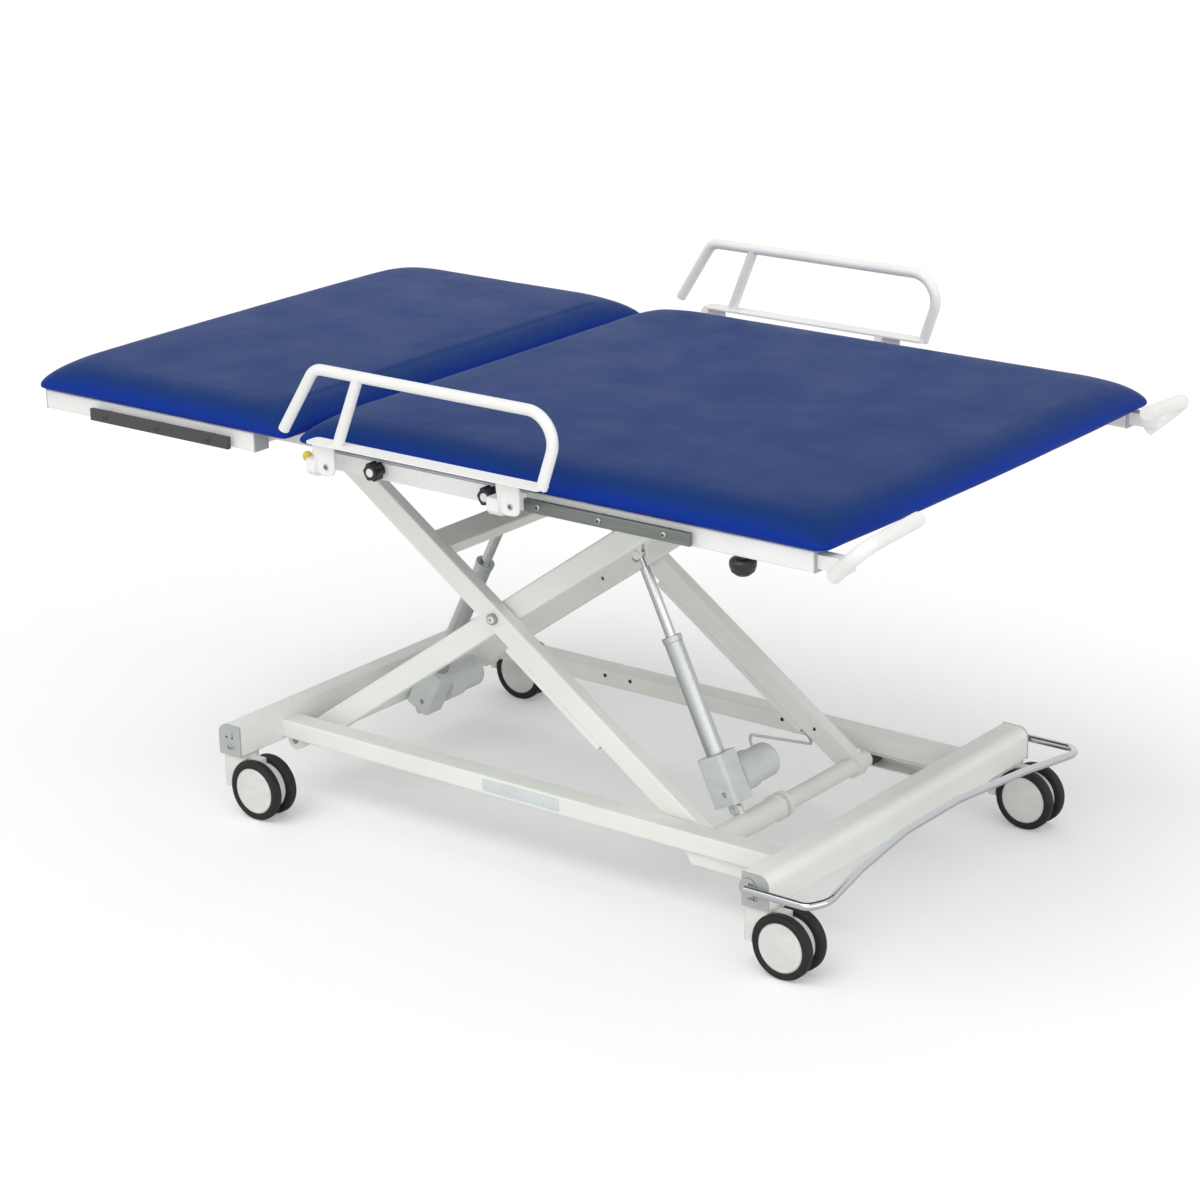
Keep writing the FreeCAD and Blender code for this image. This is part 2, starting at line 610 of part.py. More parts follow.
def lug_plate(name, root, root_half, eye, radius, y, thickness, bore):
    """Plate that tapers from a straight root to a round eye; root and eye are points in the XZ plane."""
    run = (eye - root).normalize()
    side = V(run.z, 0, -run.x)
    corners = [root + side * root_half, eye + side * radius, eye - side * radius, root - side * root_half]
    face = Part.Face(Part.makePolygon([V(p.x, y, p.z) for p in corners + corners[:1]]))
    plate = face.extrude(V(0, thickness, 0))
    plate = plate.fuse(Part.makeCylinder(radius, thickness, V(eye.x, y, eye.z), V(0, 1, 0)))
    if bore:
        plate = plate.cut(Part.makeCylinder(bore, thickness, V(eye.x, y, eye.z), V(0, 1, 0)))
    return shaped(name, plate.removeSplitter())


def pin_heads(name, eye, y, inner_half, radius):
    """Two flat bolt heads outside a pair of ears."""
    deep = size("bolt_head")
    starts = (y - inner_half - deep, y + inner_half)
    return [shaped(name, Part.makeCylinder(radius, deep, V(eye.x, start, eye.z), V(0, 1, 0))) for start in starts]


# pins of the two lift actuators, at rest
foot_act_pin = V(size("foot_act_x"), size("foot_act_y"), size("foot_act_z"))
foot_act_eye = middle + along_inner * size("foot_eye_reach") - across_inner * size("foot_eye_drop")
foot_act_eye.y = foot_act_pin.y
head_act_pin = middle - along_inner * size("head_act_reach") - across_inner * size("head_act_drop")
head_act_pin.y = size("head_act_y")
head_act_eye = middle + along_outer * size("head_eye_reach") - across_outer * size("head_eye_drop")
head_act_eye.y = head_act_pin.y
ear_inside = size("act_eye_width") / 2 + size("side_gap")
ear_wall = size("clevis_wall")


def eye_ears(name, eye, across, member_half):
    """Two ears from a cross tube down to the actuator's upper eye, with bolt heads outside them."""
    root = eye + across * (size(name) - member_half)
    parts = []
    for start in (eye.y - ear_inside - ear_wall, eye.y + ear_inside):
        parts.append(lug_plate(name + "_ear", root, size("ear_root"), eye, size("ear_eye"), start, ear_wall, 0))
    return parts + pin_heads(name + "_bolt", eye, eye.y, ear_inside + ear_wall, size("ear_bolt_radius"))


def far_twin(part):
    """Copy of a scissor part for the far side, which is set in by far_inset."""
    twin = mirror(part)
    twin.Base = V(0, -size("far_inset") / 2, 0)
    return twin


inner_arm = arm("inner_arm", "inner_arm_y", -size("lift_angle"), "head_pivot_x", "pivot_low", "mid_pin_radius")
inner_stub = rod("inner_stub", "Y", "stub_radius", "roller_width + 6", FOOT_PIVOT_X,
                 "-(inner_arm_y + arm_width + roller_width + 6)", PIVOT_HIGH)
far_inner_arm = far_twin(inner_arm)
far_inner_out = "(inner_arm_y + arm_width - far_inset)"
far_inner_stub = fuse("far_inner_stub", [
    rod("far_inner_axle", "Y", "stub_radius", "far_inset + roller_width + 6", FOOT_PIVOT_X,
        far_inner_out, PIVOT_HIGH),
    rod("far_inner_spacer", "Y", "spacer_radius", "far_inset", FOOT_PIVOT_X, far_inner_out, PIVOT_HIGH)])
inner_cross = turned_member("inner_cross", "(arm_reach + inner_cross_reach)", -1, "inner_arm_y")
lower_tie = rod("lower_tie", "Y", "torsion_radius", "2 * inner_arm_y - far_inset",
                "head_pivot_x + (arm_reach - lower_tie_reach) * cos(lift_angle)", "-inner_arm_y",
                "pivot_low + (arm_reach - lower_tie_reach) * sin(lift_angle)")
tie_centre = middle - along_inner * size("lower_tie_reach")
tie_run = (head_act_pin - V(tie_centre.x, head_act_pin.y, tie_centre.z)).normalize()
tie_edge = V(tie_centre.x, head_act_pin.y, tie_centre.z) + tie_run * (size("torsion_radius") - 2)
tie_lug = lug_plate("tie_lug", tie_edge, 7, head_act_pin, size("act_eye_radius"),
                    head_act_pin.y - size("act_eye_width") / 2 + 0.5, size("act_eye_width") - 1,
                    size("act_pin_radius") + size("running_gap"))
tie_with_lug = fuse("tie_with_lug", [lower_tie, tie_lug])
far_inner_holed = cut("far_inner_holed", far_inner_arm, rod(
    "head_lead_hole", "Y", "cable_hole_radius", "12",
    "head_pivot_x + (arm_reach - head_hole_reach) * cos(lift_angle)", "inner_arm_y - far_inset",
    "pivot_low + (arm_reach - head_hole_reach) * sin(lift_angle)"))
node("inner_arms", [inner_arm, far_inner_holed, inner_stub, far_inner_stub, inner_cross, tie_with_lug]
     + eye_ears("foot_eye_drop", foot_act_eye, across_inner, size("cross_member_high") / 2))

mid_y_out = "(inner_arm_y + 2 * arm_width + arm_gap + side_gap)"
mid_shank = rod("mid_shank", "Y", "mid_pin_radius", "%s - inner_arm_y" % mid_y_out,
                "head_pivot_x + arm_reach * cos(lift_angle)", "-" + mid_y_out,
                "pivot_low + arm_reach * sin(lift_angle)")
mid_head = rod("mid_head", "Y", "mid_head_radius", "mid_head_deep", "head_pivot_x + arm_reach * cos(lift_angle)",
               "-(%s + mid_head_deep)" % mid_y_out, "pivot_low + arm_reach * sin(lift_angle)")
mid_washer = rod("mid_washer", "Y", "mid_washer_radius", "arm_gap - side_gap", "head_pivot_x + arm_reach * cos(lift_angle)",
                 "-(%s + arm_gap - side_gap)" % INNER_ARM_OUT, "pivot_low + arm_reach * sin(lift_angle)")
mid_pin = fuse("mid_pin", [mid_shank, mid_head, mid_washer])
node("mid_pivot_pins", [mid_pin, far_twin(mid_pin)])

outer_arm = arm("outer_arm", OUTER_ARM_Y, size("lift_angle"), "head_pivot_x", PIVOT_HIGH, "mid_pin_radius + running_gap")
STUB_Z = "pivot_low - lower_roller_drop"
outer_stub = rod("outer_stub", "Y", "stub_radius", "roller_width + 9", FOOT_PIVOT_X,
                 "-(%s + arm_width + roller_width + 9)" % OUTER_ARM_Y, STUB_Z)
far_outer_out = "(%s + arm_width - far_inset)" % OUTER_ARM_Y
far_outer_stub = fuse("far_outer_stub", [
    rod("far_outer_axle", "Y", "stub_radius", "far_inset + roller_width + 9", FOOT_PIVOT_X, far_outer_out,
        STUB_Z),
    rod("far_tube_end", "Y", "torsion_radius", "tube_end_long", FOOT_PIVOT_X, far_outer_out, "pivot_low")])
outer_cross = turned_member("outer_cross", "(arm_reach - outer_cross_reach)", 1, OUTER_ARM_Y)


def duct(name, start_y, reach_text):
    """Flat hollow cover for a cable under an outer arm, from near its middle to the given reach."""
    body = box_tube(name, "X", start_y, start_y + " + duct_wide", "-(arm_height / 2 + duct_deep)",
                    "-arm_height / 2", "arm_reach + duct_start", reach_text + " - duct_start", "duct_wall", "1")
    body.Placement = FreeCAD.Placement(V(), FreeCAD.Rotation(V(0, 1, 0), size("lift_angle")))
    bind(body, **{"Placement.Rotation.Angle": "lift_angle"})
    return place(body, "head_pivot_x", "0", PIVOT_HIGH)


node("outer_arms", [outer_arm, far_twin(outer_arm), outer_stub, far_outer_stub, outer_cross]
     + eye_ears("head_eye_drop", head_act_eye, across_outer, size("cross_member_high") / 2))
node("cable_ducts", [duct("near_duct", "-(%s + duct_wide + 2)" % OUTER_ARM_Y, "near_duct_reach"),
                     duct("far_duct", "(%s - far_inset + 2)" % OUTER_ARM_Y, "far_duct_reach")])


def torsion_tube():
    """Tube between the feet of the outer arms, with a sleeve, two rings and the lug for the actuator."""
    foot_x = size("head_pivot_x") + 2 * reach * math.cos(tilt)
    low = size("pivot_low")

    def along_y(radius, y0, y1):
        return Part.makeCylinder(radius, y1 - y0, V(foot_x, y0, low), V(0, 1, 0))
    sleeve_end = -size("sleeve_end_y")
    ring = size("ring_width")
    far_end = outer_arm_y - size("far_inset")
    solid = along_y(size("torsion_radius"), -outer_arm_y, far_end).fuse(
        [along_y(size("sleeve_radius"), -outer_arm_y, sleeve_end),
         along_y(size("ring_radius"), sleeve_end, sleeve_end + ring),
         along_y(size("ring_radius"), sleeve_end + 2 * ring, sleeve_end + 3 * ring)])
    solid = solid.cut(along_y(size("torsion_radius") - size("arm_wall"), -outer_arm_y, far_end))
    lug_half = size("act_eye_width") / 2 - 0.5
    towards = (foot_act_pin - V(foot_x, foot_act_pin.y, low)).normalize()
    root = V(foot_x, foot_act_pin.y, low) + towards * (size("sleeve_radius") - 3)
    lug = lug_plate("foot_lug", root, 11, foot_act_pin, size("act_eye_radius"), foot_act_pin.y - lug_half,
                    2 * lug_half, size("act_pin_radius") + size("running_gap"))
    shape = solid.fuse(lug.Shape).removeSplitter()
    doc.removeObject(lug.Name)
    return shaped("torsion_bar", shape)


node("torsion_tube", [torsion_tube()])


def roller(name, radius, start, x, z):
    """Ring that runs on a stub axle of an arm."""
    outer = rod(name + "_outer", "Y", radius, "roller_width", x, "-(%s + roller_width)" % start, z)
    bore = rod(name + "_bore", "Y", "stub_radius + running_gap", "roller_width", x,
               "-(%s + roller_width)" % start, z)
    return cut(name, outer, bore)


both_sides("lower_rollers", [roller("lower_roller", "lower_roller_radius",
                                    "(%s + arm_width + 6)" % OUTER_ARM_Y,
                                    FOOT_PIVOT_X, "pivot_low - lower_roller_drop")])
both_sides("upper_rollers", [roller("upper_roller", "upper_roller_radius",
                                    "(%s + 5)" % INNER_ARM_OUT, FOOT_PIVOT_X, PIVOT_HIGH)])


# lift actuators, modelled about the lower pin with their own Z along the rod

def actuator(prefix, pin, eye):
    run = eye - pin
    lean = math.degrees(math.atan2(run.x, run.z))
    seat = FreeCAD.Placement(pin, FreeCAD.Rotation(V(0, 1, 0), lean))
    wide = size("gear_wide") / 2
    deep = size("gear_deep") / 2
    gear = Part.makeBox(2 * wide, 2 * deep, size("gear_long"), V(-wide, -deep, size("gear_start")))
    gear = gear.makeFillet(9, [edge for edge in gear.Edges if straight_along(AXES["Z"])(edge)])
    motor_start = V(0, deep - 2, size("motor_up"))
    motor = Part.makeCylinder(size("motor_radius"), size("motor_long"), motor_start, V(0, 1, 0))
    motor_end = deep - 2 + size("motor_long")
    motor = motor.makeChamfer(10, [edge for edge in motor.Edges
                                   if abs(edge.CenterOfMass.y - motor_end) < 0.1 and edge.Closed])
    step = Part.makeCylinder(size("motor_radius") + 4, size("motor_long") * 0.4, motor_start, V(0, 1, 0))
    socket = Part.makeCylinder(6, 8, V(8, -deep, size("gear_start") + 24), V(0, 1, 0))
    body = gear.fuse([motor, step]).cut(socket)
    radius = size("act_eye_radius")
    ears = []
    for start in (-ear_inside - ear_wall, ear_inside):
        ear = Part.makeBox(2 * radius, ear_wall, size("gear_start"), V(-radius, start, 0))
        ears.append(ear.fuse(Part.makeCylinder(radius, ear_wall, V(0, start, 0), V(0, 1, 0))))
    half = ear_inside + ear_wall
    pin_shape = Part.makeCylinder(size("act_pin_radius"), 2 * half + 6, V(0, -half - 3, 0), V(0, 1, 0))
    body = body.fuse(ears + [pin_shape]).removeSplitter()
    nodes.append(shaped(prefix + "_actuator_housing", body, seat))

    tube = new_body(prefix + "_actuator_tube")
    wall_inside = "act_tube_radius - act_tube_wall"
    end = prefix + "_tube_end"
    bore = "act_rod_radius + running_gap"
    start = "gear_start + gear_long"
    revolve(tube, polygon(sketch(tube, "Y"), [
        (wall_inside, start), ("act_tube_radius", start), ("act_tube_radius", end + " - 12"),
        ("act_tube_radius + 1.5", end + " - 11"), ("act_tube_radius + 1.5", end), (bore, end),
        (bore, end + " - 8"), (wall_inside, end + " - 8")]))
    tube.Placement = seat
    nodes.append(tube)

    length = run.Length
    rod_start = size(prefix + "_tube_end") - 60
    neck_long = 30
    bar = Part.makeCylinder(size("act_rod_radius"), length - neck_long - rod_start, V(0, 0, rod_start))
    neck = Part.makeCylinder(size("act_eye_width") / 2 - 0.1, neck_long - 2, V(0, 0, length - neck_long))
    head = Part.makeCylinder(radius, size("act_eye_width"), V(0, -size("act_eye_width") / 2, length), V(0, 1, 0))
    nodes.append(shaped(prefix + "_actuator_rod", bar.fuse([neck, head]).removeSplitter(), seat))


actuator("foot", foot_act_pin, foot_act_eye)
actuator("head", head_act_pin, head_act_eye)


# motor leads, in straight runs and arcs: the foot one into the far duct, the head one into the far arm

def lead(label, points, bends):
    nodes.append(shaped(label, bent_tube(points, bends, size("lead_radius"))))


foot_run = (foot_act_eye - foot_act_pin).normalize()
motor_top = foot_act_pin + foot_run * (size("motor_up") + size("motor_radius") + size("side_gap"))
motor_top.y = -50
duct_mouth = middle + along_outer * size("far_duct_reach") * -1 - across_outer * (
    size("arm_height") / 2 + size("duct_deep") / 2)
duct_mouth.y = outer_arm_y - size("far_inset") + 2 + size("duct_wide") / 2
duct_inside = duct_mouth + along_outer * 12
lead_rise = motor_top + foot_run * 26
lead_turn = duct_mouth - along_outer * 40 - across_outer * 6
lead("foot_actuator_lead", [motor_top, lead_rise, lead_turn, duct_inside], [16, 22])

head_run = (head_act_eye - head_act_pin).normalize()
motor_face = head_act_pin + head_run * size("motor_up")
motor_face.y = size("gear_deep") / 2 - 2 + size("motor_long") + size("side_gap")
hole = middle - along_inner * size("head_hole_reach")
hole.y = size("inner_arm_y") - size("far_inset")
lead("head_actuator_lead", [motor_face, motor_face + V(0, 20, 0), V(hole.x, hole.y - 18, hole.z), hole + V(0, 8, 0)],
     [9, 9])


# main frame under the long cushion

def frame_rail(name, start, length):
    return box_tube(name, "X", "-frame_half_width", "-(frame_half_width - frame_tube)", DECK, DECK_TOP,
                    start, length, "frame_wall")


def frame_cross(name, x, low=DECK):
    inside = "(frame_half_width - frame_tube)"
    return box_tube(name, "Y", x, x + " + frame_tube", low, DECK_TOP, inside, "2 * " + inside, "frame_wall")


knob_hole = rod("knob_hole", "Z", "stud_radius + running_gap", "frame_wall + 2", "hand_knob_x",
                "-(frame_half_width - hand_knob_inset)", DECK + " - 1")
main_rail = cut("main_rail", frame_rail("main_rail_tube", "main_head_x", "main_foot_x - main_head_x"), knob_hole)


def roller_channel():
    """C-section for an upper roller, open to the arms, between two cross members."""
    body = new_body("roller_channel")
    web_out = "-(channel_web_y + channel_wall)"
    lip = "-" + OUTER_ARM_Y
    half = "(upper_roller_radius + roller_play)"
    low = PIVOT_HIGH + " - " + half
    top = PIVOT_HIGH + " + " + half
    outline = polygon(sketch(body, "X", "cross_mid_x + frame_tube"), [
        (web_out, low + " - channel_wall"), (lip, low + " - channel_wall"), (lip, low),
        ("-channel_web_y", low), ("-channel_web_y", top), (lip, top),
        (lip, top + " + channel_wall"), (web_out, top + " + channel_wall")])
    pad(body, outline, "cross_foot_x - cross_mid_x - frame_tube")
    return body



SUB_LOW = "(" + DECK + " - sub_low)"
SUB_TOP = "(" + DECK + " - sub_low + sub_tube)"
HINGE_Z = "(" + DECK + " + hinge_in_frame)"


def sub_frame():
    """Low beams under the head section, with pivot lugs for the arms and ears for the head hinge."""
    beam = box_tube("sub_beam", "X", "-(sub_y + sub_width)", "-sub_y", SUB_LOW, SUB_TOP,
                    "sub_head_x", "main_head_x + frame_tube - sub_head_x", "frame_wall")
    post = block("sub_post", "main_head_x", "-(sub_y + sub_width)", SUB_TOP,
                 "frame_tube", "sub_width", "sub_low - sub_tube")
    pivot_lug = tapered_plate("pivot_lug", [("head_pivot_x - 30", SUB_LOW), ("head_pivot_x + 30", SUB_LOW)],
                              ("head_pivot_x", PIVOT_HIGH), "20", "-(sub_y - lug_plate)", "lug_plate",
                              "pin_radius")
    ear = tapered_plate("hinge_ear", [("hinge_x - 20", SUB_TOP), ("hinge_x + 20", SUB_TOP)],
                        ("hinge_x", HINGE_Z), "hinge_ear_radius", "-(sub_y + lug_plate)", "lug_plate",
                        "hinge_pin_radius")
    return [beam, post, pivot_lug, ear]


sub_parts = sub_frame()
sub_tie = rod("sub_tie", "Y", "tie_radius", "2 * sub_y", "tie_x", "-sub_y", SUB_LOW + " + sub_tube / 2")
node("sub_frame", sub_parts + [mirror(part) for part in sub_parts] + [sub_tie])

spring_seat = V(size("spring_x"), 0, deck - size("spring_drop"))
spring_lug_half = 10


def spring_lugs():
    root = V(spring_seat.x, 0, deck)
    lugs = []
    for start in (-spring_lug_half - 4, spring_lug_half):
        lugs.append(lug_plate("spring_lug", root, 14, spring_seat, 8, start, 4, 0))
    bolt = Part.makeCylinder(4, 2 * spring_lug_half, V(spring_seat.x, -spring_lug_half, spring_seat.z), V(0, 1, 0))
    return lugs + [shaped("spring_bolt", bolt)]


near_channel = roller_channel()
node("main_frame", [main_rail, mirror(main_rail), frame_cross("cross_head", "main_head_x"),
                    frame_cross("cross_mid", "cross_mid_x"), frame_cross("cross_foot", "cross_foot_x"),
                    near_channel, mirror(near_channel)] + spring_lugs())

top_pin = stepped_pin("top_pin", "head_pivot_x", PIVOT_HIGH, "pin_radius", "(%s - side_gap)" % OUTER_ARM_Y,
                      "(sub_y + side_gap)", "4", "4", "12", "12")
hinge_pin = stepped_pin("hinge_pin", "hinge_x", HINGE_Z, "hinge_pin_radius", "(sub_y + lug_plate)",
                        "(sub_y + 3 * lug_plate + 2 * side_gap)", "4", "4", "8", "8")


def guard_pins():
    """Bolts along X that the side rails fold about."""
    pins = []
    z = DECK + " + guard_hinge_up"
    y = "-guard_hinge_y"
    spans = [("mount_head_x", "leaf_head_x + guard_leaf + side_gap - mount_head_x"),
             ("foot_lug_x", "leaf_foot_x + guard_leaf + side_gap - foot_lug_x")]
    for index, (start, length) in enumerate(spans):
        shank = rod("guard_pin_%d" % index, "X", "guard_pin_radius", length, start, y, z)
        ends = ("%s - guard_cap_deep" % start, "%s + %s" % (start, length))
        caps = [rod("guard_cap_%d" % index, "X", "guard_cap_radius", "guard_cap_deep", end, y, z) for end in ends]
        pins.append(fuse("guard_bolt_%d" % index, [shank] + caps))
    return pins


far_top_pin = stepped_pin("far_top_pin", "head_pivot_x", PIVOT_HIGH, "pin_radius",
                          "(%s - far_inset - side_gap)" % OUTER_ARM_Y, "(sub_y + side_gap)", "4", "4", "12",
                          "12")
top_spacer = rod("top_spacer", "Y", "spacer_radius", "far_inset + sub_y - lug_plate - %s - arm_width - 1"
                 % OUTER_ARM_Y, "head_pivot_x", "%s + arm_width - far_inset + side_gap" % OUTER_ARM_Y, PIVOT_HIGH)
loose_pins = [hinge_pin] + guard_pins()
node("frame_pivot_pins", [top_pin, fuse("far_top", [mirror(far_top_pin), top_spacer])] + loose_pins
     + [mirror(pin) for pin in loose_pins])


def guard_mount():
    """Strip clamped along the frame rail with a lug at each end for the side rail's hinge."""
    low = DECK + " + 2"
    top = DECK + " + frame_tube - 4"
    strip = block("mount_strip", "mount_head_x", "-(frame_half_width + strip)", low,
                  "mount_foot_x - mount_head_x", "strip", "frame_tube - 6")
    parts = [strip]
    reach_y = "(guard_hinge_y + leaf_radius)"
    for name, start, length in (("mount_head", "mount_head_x", "leaf_head_x - side_gap - mount_head_x"),
                                ("mount_foot", "foot_lug_x", "leaf_foot_x - side_gap - foot_lug_x")):
        lug = new_body(name)
        solid = pad(lug, polygon(sketch(lug, "X", start), [
            ("-(frame_half_width + strip)", low), ("-(%s - 9)" % reach_y, low), ("-" + reach_y, low + " + 9"),
            ("-" + reach_y, top), ("-(frame_half_width + strip)", top)]), length)
        bore = sketch(lug, "X", start)
        circle(bore, "-guard_hinge_y", DECK + " + guard_hinge_up", "guard_pin_radius")
        pocket(lug, bore, length)
        if name == "mount_head":
            hole = circle(sketch(lug, "X", start), "-plunger_y", DECK + " + plunger_up",
                          "plunger_stem + running_gap")
            pocket(lug, hole, "leaf_head_x - mount_head_x")
        parts.append(lug)
    welded = fuse("mount_welded", parts)
    holes = [rod("stud_hole_" + end, "Y", "stud_radius + running_gap", "strip", "star_%s_x" % end,
                 "-(frame_half_width + strip)", DECK + " + star_up") for end in ("head", "foot")]
    return cut("guard_mount", welded, fuse("stud_holes", holes))


both_sides("side_rail_mounts", [guard_mount()])


def accessory_rail(name, start, length, up, spots):
    """Flat bar that stands off the frame rail on round bushes."""
    outer = "(frame_half_width + acc_stand + acc_thick)"
    middle_z = DECK + " + " + up
    bar = block(name + "_bar", start, "-" + outer, middle_z + " - acc_height / 2", length, "acc_thick",
                "acc_height")
    doc.recompute()
    soft = doc.addObject("Part::Fillet", name + "_rounded")
    soft.Base = bar
    soft.Edges = [(i + 1, 1.5, 1.5) for i, edge in enumerate(bar.Shape.Edges) if straight_along(AXES["X"])(edge)]
    bushes = [rod("%s_bush_%d" % (name, i), "Y", "bush_radius", "acc_stand", "%s + %s * %s" % (start, length, share),
                  "-(frame_half_width + acc_stand)", middle_z) for i, share in enumerate(spots)]
    return fuse(name, [soft] + bushes)


both_sides("main_accessory_rails", [accessory_rail("main_acc", "main_acc_x", "main_acc_long", "acc_up",
                                                   ("0.085", "0.46", "0.85"))])


def end_plug(name, x, z_low):
    return block(name, x, "-frame_half_width", z_low, "end_cap", "frame_tube", "frame_tube")


def handle_guide():
    """Plastic insert in the rail's foot end with a square hole for the handle's bar."""
    flange = block("guide_flange", "main_foot_x", "-frame_half_width", DECK, "end_cap", "frame_tube", "frame_tube")
    inset = "(frame_wall + side_gap)"
    sleeve = block("guide_sleeve", "main_foot_x - 20", "-(frame_half_width - %s)" % inset, DECK + " + " + inset,
                   "20", "frame_tube - 2 * (%s)" % inset, "frame_tube - 2 * (%s)" % inset)
    margin = "(frame_tube - plug) / 2 - side_gap"
    hole = block("guide_hole", "main_foot_x - 30", "-(frame_half_width - (%s))" % margin,
                 DECK + " + " + margin, "60", "plug + 2 * side_gap", "plug + 2 * side_gap")
    return cut("handle_guide", fuse("guide_whole", [flange, sleeve]), hole)


both_sides("rail_end_plugs", [end_plug("head_plug", "main_head_x - end_cap", DECK), handle_guide()])


def control_box():
    """Electric control unit hung under the middle cross member."""
    body = new_body("control_box")
    base = pad(body, rectangle(sketch(body, "Z", DECK + " - box_high"), "box_x", "box_x + box_long",
                               "box_y", "box_y + box_wide"), "box_high")
    round_edges(body, base, "8", straight_along(AXES["Z"]))
    return body


nodes.append(control_box())


# cushions on their frames

def cushion(label, head_x, foot_x, bow_head, bow_foot):
    """Closed pad with rounded corners and edges; a bowed end is an arc across the table."""
    half = size("cushion_half_width")
    low = deck + size("frame_tube") + size("cushion_gap")
    top = deck + size("cushion_top")
    corners = [V(head_x, -half, low), V(foot_x, -half, low), V(foot_x, half, low), V(head_x, half, low)]

    def across_end(start, end, bow):
        if not bow:
            return Part.LineSegment(start, end).toShape()
        return Part.Arc(start, V(start.x + bow, 0, low), end).toShape()
    outline = Part.Wire([Part.LineSegment(corners[0], corners[1]).toShape(),
                         across_end(corners[1], corners[2], bow_foot),
                         Part.LineSegment(corners[2], corners[3]).toShape(),
                         across_end(corners[3], corners[0], -bow_head)])
    solid = Part.Face(outline).extrude(V(0, 0, top - low))
    upright = [edge for edge in solid.Edges if straight_along(AXES["Z"])(edge)]
    solid = solid.makeFillet(size("cushion_corner"), upright)
    flat = [edge for edge in solid.Edges if abs(edge.BoundBox.ZLength) < 0.01]
    return shaped(label, solid.makeFillet(size("cushion_edge"), flat))


nodes.append(cushion("main_cushion", size("main_cushion_head_x"), size("main_cushion_foot_x"), 0, size("foot_bow")))
nodes.append(cushion("head_cushion", size("head_cushion_head_x"), size("head_cushion_foot_x"), size("head_bow"), 0))


# head section frame with its hinge arms and the lever for the gas spring

head_rail = frame_rail("head_rail", "head_head_x", "head_foot_x - head_head_x")
HEAD_CROSS_LOW = "(" + DECK_TOP + " - head_cross_height)"
hinge_point = V(size("hinge_x"), 0, deck + size("hinge_in_frame"))
lever_eye = hinge_point + V(size("lever_x"), 0, -size("lever_drop"))


def hinge_arm():
    """Arm from the head frame's cross tube to the hinge pin, beside the ear."""
    body = new_body("hinge_arm")
    start = "-(sub_y + 2 * lug_plate + side_gap)"
    root_x = "(head_cross_foot_x + frame_tube)"
    pad(body, rectangle(sketch(body, "Y", start), root_x, "hinge_x", HINGE_Z + " - 10", HINGE_Z + " + 10"),
        "lug_plate")
    pad(body, circle(sketch(body, "Y", start), "hinge_x", HINGE_Z, "hinge_ear_radius - 1"), "lug_plate")
    bore = circle(sketch(body, "Y", start), "hinge_x", HINGE_Z, "hinge_pin_radius + running_gap")
    pocket(body, bore, "lug_plate")
    return body


def lever_plate(start):
    body = new_body("lever")
    root_z = HEAD_CROSS_LOW
    eye_x = "(hinge_x + lever_x)"
    eye_z = "(" + HINGE_Z + " - lever_drop)"
    pad(body, polygon(sketch(body, "Y", start), [
        ("head_cross_foot_x + 4", root_z), ("head_cross_foot_x + frame_tube - 2", root_z),
        (eye_x + " + 6", eye_z + " + 8"), (eye_x + " - 6", eye_z + " - 8")]), "4")
    pad(body, circle(sketch(body, "Y", start), eye_x, eye_z, "10"), "4")
    return body


arm_plate = hinge_arm()
node("head_frame", [head_rail, mirror(head_rail), frame_cross("head_cross_foot", "head_cross_foot_x", HEAD_CROSS_LOW),
                            frame_cross("head_cross_head", "head_cross_head_x", HEAD_CROSS_LOW),
                            arm_plate, mirror(arm_plate), lever_plate("11"), lever_plate("-7")])
both_sides("head_end_caps", [end_plug("head_cap_foot", "head_foot_x", DECK),
                             end_plug("head_cap_head", "head_head_x - end_cap", DECK)])
both_sides("head_accessory_rails", [accessory_rail("head_acc", "head_acc_x", "head_acc_long", "head_acc_up",
                                                   ("0.11", "0.49", "0.86"))])


def gas_spring():
    """Closed cylinder with an eye on its seat, and the rod whose eye sits between the lever's plates."""
    run = lever_eye - spring_seat
    seat = FreeCAD.Placement(spring_seat, FreeCAD.Rotation(V(0, 0, 1), run.normalize()))
    length = (lever_eye - spring_seat).Length
    radius = size("spring_radius")
    rod_radius = size("spring_rod_radius")
    tube_end = 12 + size("spring_tube_long")
    tube = Part.makeCylinder(radius, size("spring_tube_long"), V(0, 0, 12))
    tube = tube.cut(Part.makeCylinder(radius - 2, size("spring_tube_long") - 12, V(0, 0, 18)))
    tube = tube.cut(Part.makeCylinder(rod_radius + size("running_gap"), 20, V(0, 0, tube_end - 10)))
    eye = Part.makeCylinder(8, 18, V(0, -9, 0), V(0, 1, 0))
    tube = tube.fuse([eye, Part.makeCylinder(5, 10, V(0, 0, 5))])
    tube = tube.cut(Part.makeCylinder(4 + size("running_gap"), 20, V(0, -10, 0), V(0, 1, 0)))
    nodes.append(shaped("gas_spring_tube", tube.removeSplitter(), seat))
    rod_start = tube_end - 120
    bar = Part.makeCylinder(rod_radius, length - rod_start, V(0, 0, rod_start))
    end = Part.makeCylinder(8, 12, V(0, -6, length), V(0, 1, 0))
    nodes.append(shaped("gas_spring_rod", bar.fuse(end).removeSplitter(), seat))


gas_spring()


# side rails that fold outwards

